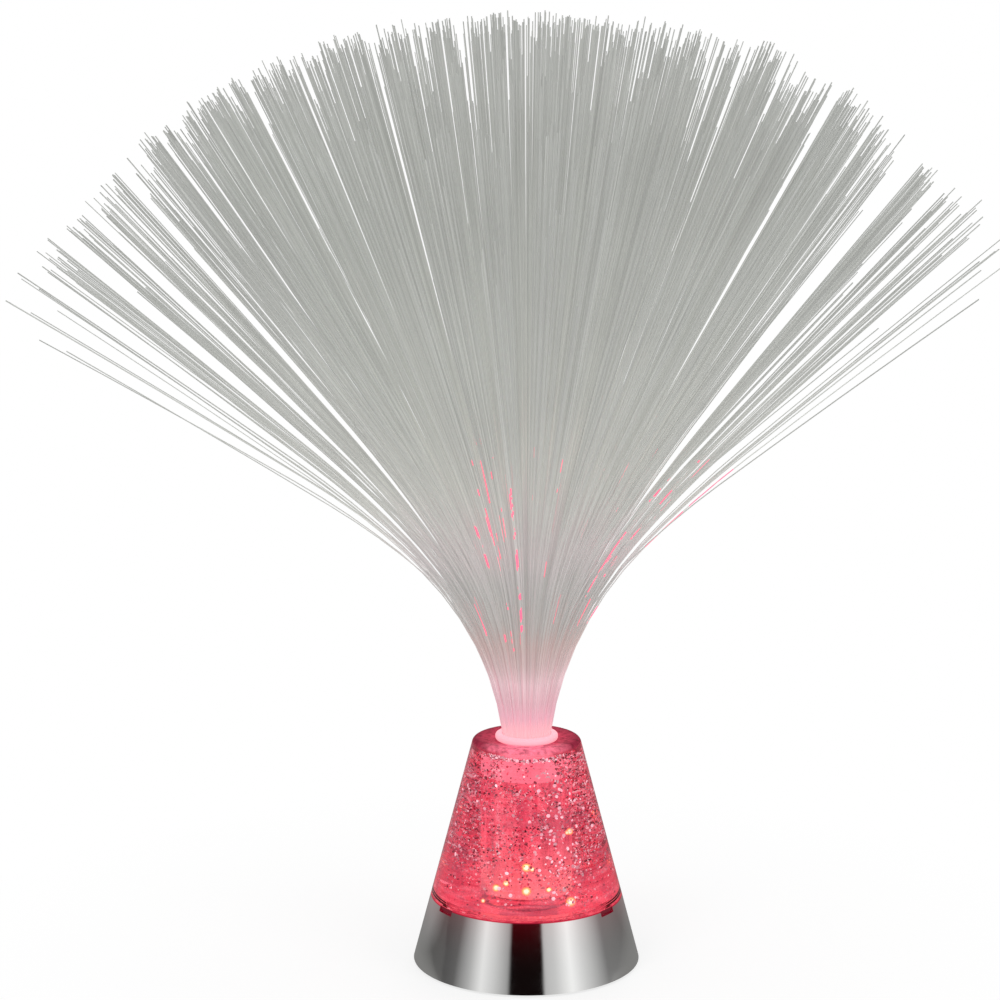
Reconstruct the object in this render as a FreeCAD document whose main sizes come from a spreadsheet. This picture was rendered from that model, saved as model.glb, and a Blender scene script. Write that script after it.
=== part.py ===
"""Battery fibre optic lamp: plated base, glitter chamber and a spray of light-carrying strands.

Millimetres, +Z up, origin on the table under the middle of the base.
"""
import FreeCAD, Part
import math
import os
import random
import re

import Sketcher

Vector = FreeCAD.Vector
Rotation = FreeCAD.Rotation
UP = Vector(0, 0, 1)

SIZES = {
    # outer cone
    "base_radius": 40.0,
    "shell_lift": 0.8,
    "seam_height": 24.5,
    "seam_gap": 0.2,
    "cone_top_radius": 18.75,
    "top_height": 81.0,
    "top_round": 2.2,
    "top_dish": 0.8,
    "top_rim": 0.8,
    # base shell
    "shell_wall": 1.5,
    "deck_top": 21.5,
    "deck_thickness": 2.0,
    "deck_window_radius": 21.5,
    "notch_angle": 56.0,
    "notch_width": 7.6,
    "notch_depth": 1.8,
    # chamber
    "chamber_wall": 2.95,
    "chamber_roof": 3.0,
    "spigot_clearance": 0.25,
    "lug_clearance": 0.2,
    "lug_setback": 0.5,
    "lug_root": 0.8,
    "well_radius": 9.95,
    "well_wall": 1.4,
    "floor_lift": 1.7,
    "floor_thickness": 2.5,
    "floor_groove": 0.8,
    "glue_gap": 0.1,
    "filler_circle": 19.5,
    "filler_radius": 2.5,
    "filler_flange": 0.6,
    "air_gap": 1.6,
    "liquid_clearance": 0.05,
    # glitter
    "flake_radius": 0.7,
    "flake_thickness": 0.12,
    "flake_spacing": 2.6,
    # ferrule and strands
    "ferrule_flange_radius": 11.0,
    "ferrule_flange": 2.4,
    "ferrule_round": 1.0,
    "ferrule_clearance": 0.15,
    "ferrule_depth": 13.0,
    "ferrule_wall": 1.0,
    "ferrule_lip": 1.3,
    "ferrule_floor": 1.0,
    "lens_thickness": 1.2,
    "lens_clearance": 0.05,
    "strand_diameter": 0.75,
    "strand_pitch": 1.0,
    "strand_length": 250.0,
    "strand_taper": 0.06,
    "strand_scatter": 0.03,
    "strand_wobble": 0.028,
    "spray_angle": 62.0,
    # base plate
    "plate_lift": 1.2,
    "plate_thickness": 2.0,
    "plate_clearance": 0.35,
    "screw_x": 25.5,
    "screw_y": 17.0,
    "screw_radius": 1.2,
    "screw_head_radius": 2.3,
    "screw_head": 1.6,
    "screw_reach": 11.0,
    "screw_well_radius": 3.4,
    "screw_well_height": 3.8,
    "screw_clearance": 0.2,
    "post_radius": 2.75,
    "thread_clearance": 0.05,
    "foot_x": 21.0,
    "foot_inset": 4.48,
    "foot_radius": 3.4,
    "foot_recess": 0.4,
    "foot_round": 0.4,
    # cells and bay
    "cell_radius": 5.25,
    "cell_body": 43.7,
    "cell_nub_radius": 1.9,
    "cell_nub": 0.8,
    "cell_gap": 0.4,
    "cell_round": 0.4,
    "contact_thickness": 0.4,
    "contact_height": 8.6,
    "contact_side": 0.5,
    "tab_width": 2.0,
    "tab_rise": 1.2,
    "spring_length": 4.2,
    "spring_radius": 3.2,
    "spring_wire": 0.5,
    "spring_turns": 3.0,
    "spring_taper": 0.8,
    "bay_wall": 1.2,
    "bay_roof": 1.0,
    "bay_side_gap": 0.3,
    # door
    "door_thickness": 1.5,
    "door_gap": 0.4,
    "door_seat_gap": 0.1,
    "hinge_reach": 2.5,
    "hinge_height": 2.0,
    "knuckle_radius": 0.8,
    "hinge_arm_inner": 6.0,
    "hinge_arm_outer": 12.0,
    "hinge_pin_radius": 0.5,
    "hinge_pin_length": 1.2,
    "hinge_clearance": 0.06,
    "grip_half_length": 6.0,
    "grip_width": 1.2,
    "grip_pitch": 3.0,
    "grip_depth": 0.4,
    "grip_inset": 6.0,
    "tongue_half_width": 5.0,
    "tongue_reach": 7.6,
    "tongue_screw": 3.6,
    "door_screw_radius": 1.1,
    "door_screw_head_radius": 1.9,
    "door_screw_head": 0.8,
    "door_screw_reach": 3.4,
    "door_screw_clearance": 0.45,
    "door_post_radius": 2.9,
    "door_post_height": 5.6,
    # switch
    "switch_x": 23.5,
    "switch_length": 10.0,
    "switch_width": 5.6,
    "switch_height": 4.2,
    "switch_wall": 0.5,
    "switch_lift": 0.5,
    "switch_ear": 4.6,
    "switch_travel": 2.5,
    "knob_length": 4.4,
    "knob_width": 2.6,
    "knob_drop": 0.6,
    "knob_groove_width": 0.4,
    "knob_groove_depth": 0.25,
    "knob_groove_pitch": 1.0,
    "carrier_height": 2.0,
    "slider_clearance": 0.3,
    "slider_float": 0.15,
    "switch_screw_radius": 0.8,
    "switch_screw_head_radius": 1.6,
    "switch_screw_head": 1.0,
    "switch_screw_reach": 2.0,
    "mark_height": 0.3,
    "mark_size": 1.2,
    "mark_stroke": 0.5,
    "mark_distance": 6.2,
    # electronics
    "board_radius": 26.6,
    "board_thickness": 1.2,
    "board_drop": 1.3,
    "board_screw_circle": 24.2,
    "board_screw_angle": 75.0,
    "board_screw_radius": 0.8,
    "board_screw_head_radius": 1.8,
    "board_screw_head": 1.0,
    "board_post_radius": 2.2,
    "board_screw_bite": 1.4,
    "led_circle": 13.0,
    "led_radius": 1.5,
    "led_flange_radius": 1.75,
    "led_flange": 0.8,
    "led_height": 4.6,
    "reflector_thickness": 0.8,
    "reflector_clearance": 0.3,
    "led_clearance": 0.4,
    "chip_length": 4.9,
    "chip_width": 3.9,
    "chip_height": 1.5,
    "resistor_length": 2.0,
    "resistor_width": 1.25,
    "resistor_height": 0.6,
    "resistor_offset": 3.6,
    "capacitor_radius": 2.0,
    "capacitor_height": 2.6,
    "part_inset": 3.5,
    "wire_radius": 0.55,
    "wire_gap": 0.15,
    "wire_lane": 1.2,
    "switch_pole": 3.0,
}

# How a strand bows: tilt at the start and end of each arc as shares of its full tilt, and the
# arc's share of the strand's length.
BOW = ((0.0, 0.15, 0.02), (0.15, 0.84, 0.30), (0.84, 0.98, 0.20), (0.98, 1.0, 0.48))
CELL_COUNT = 3
GRIP_COUNT = 3
SPRING_SIDES = 8
FLAKE_COUNT = 150
FLAKE_SEED = 7
STRAND_SEED = 11
DIAGONALS = (45, 135, 225, 315)

# Corners of the two battery leads beside the bay: outwards from the lane along the bay wall,
# from the solder tab towards the middle, and up from the level of the bay's roof.
RED_LANE = ((0.0, 2.0, 0.0), (0.4, 7.5, -1.2), (1.2, 14.5, -1.5))
BLACK_LANE = ((0.0, 1.4, 0.0), (0.8, 6.15, -1.45), (0.6, 9.55, -0.85))

# Formulas that several pieces share.
CONE_SLOPE = "(base_radius - cone_top_radius) / (top_height - shell_lift)"
PLATE_TOP = "(plate_lift + plate_thickness)"
DECK_BOTTOM = "(deck_top - deck_thickness)"
SHELL_TOP = "(seam_height - seam_gap)"
BOARD_TOP = f"({DECK_BOTTOM} - board_drop)"
BOARD_BOTTOM = f"({BOARD_TOP} - board_thickness)"
FLOOR_BOTTOM = "(deck_top + floor_lift)"
FLOOR_TOP = f"({FLOOR_BOTTOM} + floor_thickness)"
WELL_END = f"({FLOOR_TOP} - floor_groove)"
WELL_OUTER = "(well_radius + well_wall)"
ROOF_UNDER = "(top_height - chamber_roof)"
COLLAR_SEAT = "(top_height - top_dish)"
COLLAR_TOP = f"({COLLAR_SEAT} + ferrule_flange)"
COLLAR_RADIUS = "(well_radius - ferrule_clearance)"
COLLAR_END = f"({COLLAR_SEAT} - ferrule_depth)"
COLLAR_BORE = f"({COLLAR_RADIUS} - ferrule_wall)"
LENS_TOP = f"({COLLAR_END} + ferrule_floor + lens_thickness)"
CELL_LENGTH = "(cell_body + cell_nub)"
CELL_PITCH = "(2 * cell_radius + cell_gap)"
CELL_HEIGHT = f"({PLATE_TOP} + cell_radius - door_gap)"
BAY_HALF_WIDTH = f"({CELL_PITCH} * {CELL_COUNT - 1} / 2 + cell_radius + bay_side_gap)"
BAY_HALF_LENGTH = f"({CELL_LENGTH} / 2 + spring_length / 2 + contact_thickness)"
ROOF_BOTTOM = f"({CELL_HEIGHT} + cell_radius + bay_side_gap)"
DOOR_TOP = "(plate_lift + door_thickness)"
DOOR_HALF_LENGTH = f"({BAY_HALF_LENGTH} + 1)"
HINGE_Y = f"(-{DOOR_HALF_LENGTH} - hinge_reach)"
DOOR_SCREW_Y = f"({DOOR_HALF_LENGTH} + tongue_screw)"
SWITCH_BASE = f"({PLATE_TOP} + switch_lift)"
EAR_TOP = f"({SWITCH_BASE} + switch_wall)"
CARRIER_BASE = f"({EAR_TOP} + slider_float)"
PART_CIRCLE = "(deck_window_radius - part_inset)"

doc = FreeCAD.newDocument("fibre_optic_lamp")
sheet = doc.addObject("Spreadsheet::Sheet", "Sizes")
for row, (alias, number) in enumerate(SIZES.items(), start=1):
    sheet.set(f"A{row}", alias.replace("_", " "))
    sheet.set(f"B{row}", str(number))
    sheet.setAlias(f"B{row}", alias)
doc.recompute()

nodes = []


def value(formula):
    """The number that a formula in size names has now."""
    return float(sheet.evalExpression(str(formula)))


def bind(item, property_name, formula):
    """Tie a property to a formula in size names."""
    names = re.compile(r"[a-z][a-z_]*")
    linked = names.sub(lambda m: f"Sizes.{m[0]}" if m[0] in SIZES else m[0], str(formula))
    item.setExpression(property_name, linked)


def place(item, x="0", y="0", z="0", rotation=None):
    """Turn an object and tie its position to three formulas."""
    item.Placement = FreeCAD.Placement(Vector(0, 0, 0), rotation or Rotation())
    for axis, formula in zip("xyz", (x, y, z)):
        bind(item, f"Placement.Base.{axis}", formula)
    return item


def keep(item, name):
    """Register an object as a finished sub-part."""
    item.Label = name
    nodes.append(item)
    return item


def origin_plane(body, role):
    return next(plane for plane in body.Origin.OriginFeatures if plane.Role == role)


def turned(name, outline):
    """A body turned about the Z axis from an outline of (radius, height) formulas."""
    body = doc.addObject("PartDesign::Body", name)
    sketch = body.newObject("Sketcher::SketchObject", name + "_outline")
    sketch.AttachmentSupport = (origin_plane(body, "XZ_Plane"), [""])
    sketch.MapMode = "FlatFace"
    points = [Vector(value(radius), value(height), 0) for radius, height in outline]
    count = len(points)
    for index in range(count):
        sketch.addGeometry(Part.LineSegment(points[index], points[(index + 1) % count]), False)
    for index in range(count):
        follower = (index + 1) % count
        sketch.addConstraint(Sketcher.Constraint("Coincident", index, 2, follower, 1))
    vertical_axis, horizontal_axis = -2, -1
    for index, pair in enumerate(outline):
        for kind, axis, formula in zip(("DistanceX", "DistanceY"), (vertical_axis, horizontal_axis), pair):
            if formula == "0":
                sketch.addConstraint(Sketcher.Constraint("PointOnObject", index, 1, axis))
            else:
                number = sketch.addConstraint(Sketcher.Constraint(kind, index, 1, value(formula)))
                bind(sketch, f"Constraints[{number}]", formula)
    turn = body.newObject("PartDesign::Revolution", name + "_turn")
    turn.Profile = sketch
    turn.ReferenceAxis = (sketch, ["V_Axis"])
    turn.Angle = 360
    body.Tip = turn
    doc.recompute()
    return body


def rounded(item, name, rims, radius):
    """Round the circular edges of an object that lie at the given (radius, height) rims."""
    chosen = []
    for index, edge in enumerate(item.Shape.Edges, start=1):
        curve = edge.Curve
        if not isinstance(curve, Part.Circle):
            continue
        for rim_radius, rim_height in rims:
            same_radius = abs(curve.Radius - value(rim_radius)) < 1e-4
            if same_radius and abs(curve.Center.z - value(rim_height)) < 1e-4:
                chosen.append((index, value(radius), value(radius)))
    fillet = doc.addObject("Part::Fillet", name)
    fillet.Base = item
    fillet.Edges = chosen
    doc.recompute()
    return fillet


def cylinder(name, radius, height, x="0", y="0", z="0", rotation=None):
    item = doc.addObject("Part::Cylinder", name)
    bind(item, "Radius", radius)
    bind(item, "Height", height)
    return place(item, x, y, z, rotation)


def box(name, x_range, y_range, z_range):
    """A block between the two formulas given for each axis."""
    item = doc.addObject("Part::Box", name)
    for side, (low, high) in zip(("Length", "Width", "Height"), (x_range, y_range, z_range)):
        bind(item, side, f"({high}) - ({low})")
    return place(item, x_range[0], y_range[0], z_range[0])


def fused(name, pieces):
    item = doc.addObject("Part::MultiFuse", name)
    item.Shapes = pieces
    return item


def cut(name, base, tools):
    item = doc.addObject("Part::Cut", name)
    item.Base = base
    item.Tool = tools[0] if len(tools) == 1 else fused(name + "_tools", tools)
    return item


def grouped(name, pieces):
    """Several separate solids that make one sub-part."""
    item = doc.addObject("Part::Compound", name)
    item.Links = pieces
    return keep(item, name)


def shaped(name, shape):
    """A sub-part whose shape is worked out by code from the sheet."""
    item = doc.addObject("Part::Feature", name)
    item.Shape = shape
    item.Placement = FreeCAD.Placement()
    return keep(item, name)


def corners(x_size, y_size):
    """The four mirrored positions of a pattern, as pairs of formulas."""
    return [(f"{sx} * {x_size}", f"{sy} * {y_size}") for sx in (1, -1) for sy in (1, -1)]


def on_circle(radius, angle):
    return f"{radius} * cos({angle})", f"{radius} * sin({angle})"


def cone_radius(height):
    """Outer radius of the lamp's cone at a height."""
    return f"(base_radius - {CONE_SLOPE} * ({height} - shell_lift))"


def notch_angles():
    angle = value("notch_angle")
    return (90 - angle, 90 + angle, 270 - angle, 270 + angle)


def at_notch(name, inner, outer, half_width, z_range):
    """Four radial blocks, one at each notch of the shell's rim."""
    blocks = []
    for index, angle in enumerate(notch_angles()):
        item = doc.addObject("Part::Box", f"{name}_{index + 1}")
        bind(item, "Length", f"{outer} - {inner}")
        bind(item, "Width", f"2 * ({half_width})")
        bind(item, "Height", f"({z_range[1]}) - ({z_range[0]})")
        x = f"({inner}) * cos({angle}) + ({half_width}) * sin({angle})"
        y = f"({inner}) * sin({angle}) - ({half_width}) * cos({angle})"
        blocks.append(place(item, x, y, z_range[0], Rotation(UP, angle)))
    return blocks


FLOOR_EDGE = f"({cone_radius(FLOOR_TOP)} - chamber_wall)"
PLATE_EDGE = f"({cone_radius(PLATE_TOP)} - shell_wall - plate_clearance)"
FOOT_Y = f"sqrt(({PLATE_EDGE} - foot_inset) ^ 2 - foot_x ^ 2)"


# ---------------------------------------------------------------- base shell
def make_base_shell():
    inner = f"({cone_radius('{0}')} - shell_wall)"
    deck_edge = inner.format(DECK_BOTTOM)
    spigot_bore = inner.format(SHELL_TOP)
    skin = turned("shell_turning", [
        (cone_radius("shell_lift"), "shell_lift"),
        (cone_radius(SHELL_TOP), SHELL_TOP),
        (spigot_bore, SHELL_TOP),
        (spigot_bore, "deck_top"),
        ("deck_window_radius", "deck_top"),
        ("deck_window_radius", DECK_BOTTOM),
        (deck_edge, DECK_BOTTOM),
        (inner.format("shell_lift"), "shell_lift"),
    ])
    posts = []
    pilots = []
    post_foot = "(plate_lift + screw_well_height)"
    for index, (x, y) in enumerate(corners("screw_x", "screw_y")):
        height = f"deck_top - deck_thickness / 2 - {post_foot}"
        posts.append(cylinder(f"shell_post_{index + 1}", "post_radius", height, x, y, post_foot))
        depth = "screw_reach - plate_lift"
        bore = "screw_radius + thread_clearance"
        pilots.append(cylinder(f"shell_pilot_{index + 1}", bore, depth, x, y, post_foot))
    for index in range(3):
        x, y = on_circle("board_screw_circle", f"(board_screw_angle + {120 * index})")
        height = "board_drop + deck_thickness / 2"
        posts.append(cylinder(f"board_post_{index + 1}", "board_post_radius", height, x, y, BOARD_TOP))
        bore = "board_screw_radius + thread_clearance"
        depth = "board_drop + board_screw_bite + thread_clearance"
        pilots.append(cylinder(f"board_pilot_{index + 1}", bore, depth, x, y, BOARD_TOP))
    solid = fused("shell_solid", [skin] + posts)
    half = "(notch_width / 2)"
    notches = at_notch("shell_notch", f"({spigot_bore} - 1)", f"({cone_radius('shell_lift')})", half,
                       (f"{SHELL_TOP} - notch_depth", f"{SHELL_TOP} + 1"))
    keep(cut("base_shell", solid, pilots + notches), "base_shell")


# ---------------------------------------------------------------- chamber
def make_chamber():
    spigot = f"({cone_radius(SHELL_TOP)} - shell_wall - spigot_clearance)"
    body = turned("chamber_turning", [
        (spigot, "deck_top"),
        (spigot, "seam_height"),
        (cone_radius("seam_height"), "seam_height"),
        (cone_radius("top_height"), "top_height"),
        (f"{cone_radius('top_height')} - top_round - top_rim", "top_height"),
        ("(ferrule_flange_radius + top_rim)", COLLAR_SEAT),
        ("well_radius", COLLAR_SEAT),
        ("well_radius", ROOF_UNDER),
        (f"{cone_radius(ROOF_UNDER)} - chamber_wall", ROOF_UNDER),
        (FLOOR_EDGE, FLOOR_TOP),
        (FLOOR_EDGE, "deck_top"),
    ])
    body = rounded(body, "chamber_body", [(cone_radius("top_height"), "top_height")], "top_round")
    half = "(notch_width / 2 - lug_clearance)"
    lug_bottom = f"({SHELL_TOP} - notch_depth + lug_clearance)"
    lug_face = f"({cone_radius('seam_height')} - lug_setback)"
    lugs = at_notch("chamber_lug", f"({spigot} - lug_root)", lug_face, half, (lug_bottom, "seam_height"))
    keep(fused("chamber_shell", [body] + lugs), "chamber_shell")

    tube = turned("well_tube", [
        ("well_radius", WELL_END),
        (WELL_OUTER, WELL_END),
        (WELL_OUTER, ROOF_UNDER),
        ("well_radius", ROOF_UNDER),
    ])
    keep(tube, "well_tube")

    disc = turned("floor_turning", [
        ("0", FLOOR_BOTTOM),
        (f"{FLOOR_EDGE} - glue_gap", FLOOR_BOTTOM),
        (f"{FLOOR_EDGE} - glue_gap", FLOOR_TOP),
        (f"{WELL_OUTER} + glue_gap", FLOOR_TOP),
        (f"{WELL_OUTER} + glue_gap", WELL_END),
        ("well_radius - glue_gap", WELL_END),
        ("well_radius - glue_gap", FLOOR_TOP),
        ("0", FLOOR_TOP),
    ])
    x, y = on_circle("filler_circle", 90)
    hole = cylinder("filler_hole", "filler_radius", "floor_thickness + 2", x, y, f"{FLOOR_BOTTOM} - 1")
    keep(cut("chamber_floor", disc, [hole]), "chamber_floor")
    stem = cylinder("filler_stem", "filler_radius - glue_gap", "floor_thickness", x, y, FLOOR_BOTTOM)
    flange_base = f"{FLOOR_BOTTOM} - filler_flange"
    flange = cylinder("filler_head", "filler_radius + filler_flange", "filler_flange", x, y, flange_base)
    keep(fused("filler_plug", [stem, flange]), "filler_plug")

    level = f"({ROOF_UNDER} - air_gap)"
    liquid = turned("glitter_liquid", [
        (f"{WELL_OUTER} + liquid_clearance", FLOOR_TOP),
        (f"{FLOOR_EDGE} - liquid_clearance", FLOOR_TOP),
        (f"{cone_radius(level)} - chamber_wall - liquid_clearance", level),
        (f"{WELL_OUTER} + liquid_clearance", level),
    ])
    keep(liquid, "glitter_liquid")
    make_flakes(value(FLOOR_TOP), value(level))


def make_flakes(bottom, level):
    """Hexagonal flakes hanging in the liquid, none touching another or a wall."""
    radius = value("flake_radius")
    thickness = value("flake_thickness")
    spacing = value("flake_spacing")
    draw = random.Random(FLAKE_SEED)
    hexagon = [Vector(radius * math.cos(math.radians(60 * k)), radius * math.sin(math.radians(60 * k)), 0)
               for k in range(6)]
    blank = Part.Face(Part.makePolygon(hexagon + hexagon[:1])).extrude(Vector(0, 0, thickness))
    flakes = []
    centres = []
    while len(flakes) < FLAKE_COUNT:
        height = draw.uniform(bottom + spacing / 2, level - spacing / 2)
        outer = value(cone_radius(height)) - value("chamber_wall") - 2 * radius
        reach = math.sqrt(draw.uniform((value(WELL_OUTER) + 2 * radius) ** 2, outer ** 2))
        angle = draw.uniform(0, 2 * math.pi)
        centre = Vector(reach * math.cos(angle), reach * math.sin(angle), height)
        turn = Rotation(draw.uniform(0, 360), draw.uniform(0, 180), draw.uniform(0, 360))
        if min((centre.distanceToPoint(other) for other in centres), default=spacing) < spacing:
            continue
        centres.append(centre)
        flake = blank.copy()
        flake.Placement = FreeCAD.Placement(centre, turn)
        flakes.append(flake)
    shaped("glitter_flakes", Part.makeCompound(flakes))


# ---------------------------------------------------------------- ferrule and strands
def make_ferrule():
    collar = turned("ferrule_turning", [
        (COLLAR_RADIUS, COLLAR_END),
        (COLLAR_RADIUS, COLLAR_SEAT),
        ("ferrule_flange_radius", COLLAR_SEAT),
        ("ferrule_flange_radius", COLLAR_TOP),
        (COLLAR_BORE, COLLAR_TOP),
        (COLLAR_BORE, f"({COLLAR_END} + ferrule_floor)"),
        (f"{COLLAR_BORE} - ferrule_lip", f"({COLLAR_END} + ferrule_floor)"),
        (f"{COLLAR_BORE} - ferrule_lip", COLLAR_END),
    ])
    rims = [("ferrule_flange_radius", COLLAR_SEAT), ("ferrule_flange_radius", COLLAR_TOP)]
    keep(rounded(collar, "fibre_ferrule", rims, "ferrule_round"), "fibre_ferrule")
    lens = cylinder("ferrule_lens", f"{COLLAR_BORE} - lens_clearance", "lens_thickness",
                    z=f"{COLLAR_END} + ferrule_floor")
    keep(lens, "ferrule_lens")


def arc_in_plane(start, outward, from_angle, to_angle, length):
    """An arc that bends from one tilt off the vertical to another, and its end point."""
    bend = length / (to_angle - from_angle)

    def side(tilt):
        return outward * math.cos(tilt) - UP * math.sin(tilt)

    centre = start + side(from_angle) * bend
    middle = centre - side((from_angle + to_angle) / 2) * bend
    end = centre - side(to_angle) * bend
    return Part.Arc(start, middle, end).toShape(), end


def strand(foot, azimuth, tilt, length):
    """One strand: straight in the ferrule, then bowing outwards in its own upright plane."""
    top = Vector(foot.x, foot.y, value(COLLAR_TOP))
    edges = [Part.LineSegment(foot, top).toShape()]
    if tilt < math.radians(1):
        edges = [Part.LineSegment(foot, top + UP * length).toShape()]
    else:
        outward = Vector(math.cos(azimuth), math.sin(azimuth), 0)
        for begin, finish, share in BOW:
            arc, top = arc_in_plane(top, outward, begin * tilt, finish * tilt, share * length)
            edges.append(arc)
    section = Part.Face(Part.Wire([Part.Circle(foot, UP, value("strand_diameter") / 2).toShape()]))
    return Part.Wire(edges).makePipe(section).Solids[0]


def make_strands():
    """Strands on a hexagonal grid in the ferrule's bore, each half of the spray turned from the other."""
    pitch = value("strand_pitch")
    reach = value(COLLAR_BORE) - value("strand_diameter") / 2 - 0.05
    full_tilt = math.radians(value("spray_angle"))
    cap = 1 - math.cos(full_tilt)
    rows = int(reach / pitch) + 2
    play = value("strand_wobble")
    scatter = value("strand_scatter")
    draw = random.Random(STRAND_SEED)
    bundles = {"fibres_core": [], "fibres_inner": [], "fibres_middle": [], "fibres_outer": []}
    names = list(bundles)
    for row in range(rows + 1):
        for column in range(-2 * rows, 2 * rows + 1):
            x = pitch * (column + row / 2)
            y = pitch * row * math.sqrt(3) / 2
            radius = math.hypot(x, y)
            if radius > reach or (row == 0 and column < 0):
                continue
            share = radius / reach
            wobble = draw.uniform(-play, play) if radius > 0 else 0
            swing = draw.uniform(-play, play)
            shorter = value("strand_taper") * share ** 2 + draw.uniform(0, scatter) * share
            length = value("strand_length") * (1 - shorter)
            tilt = math.acos(1 - share ** 2 * cap) + wobble * min(1, 2 * share)
            azimuth = math.atan2(y, x) + swing / max(math.sin(tilt), 0.3)
            bundle = bundles[names[min(3, int(4 * share ** 2))]]
            for turn in ((0, math.pi) if radius > 0 else (0,)):
                foot = Vector(x * math.cos(turn), y * math.cos(turn), value(LENS_TOP))
                bundle.append(strand(foot, azimuth + turn, tilt, length))
    for name, strands in bundles.items():
        shaped(name, Part.makeCompound(strands))
        print(name, len(strands), "strands")


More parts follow.
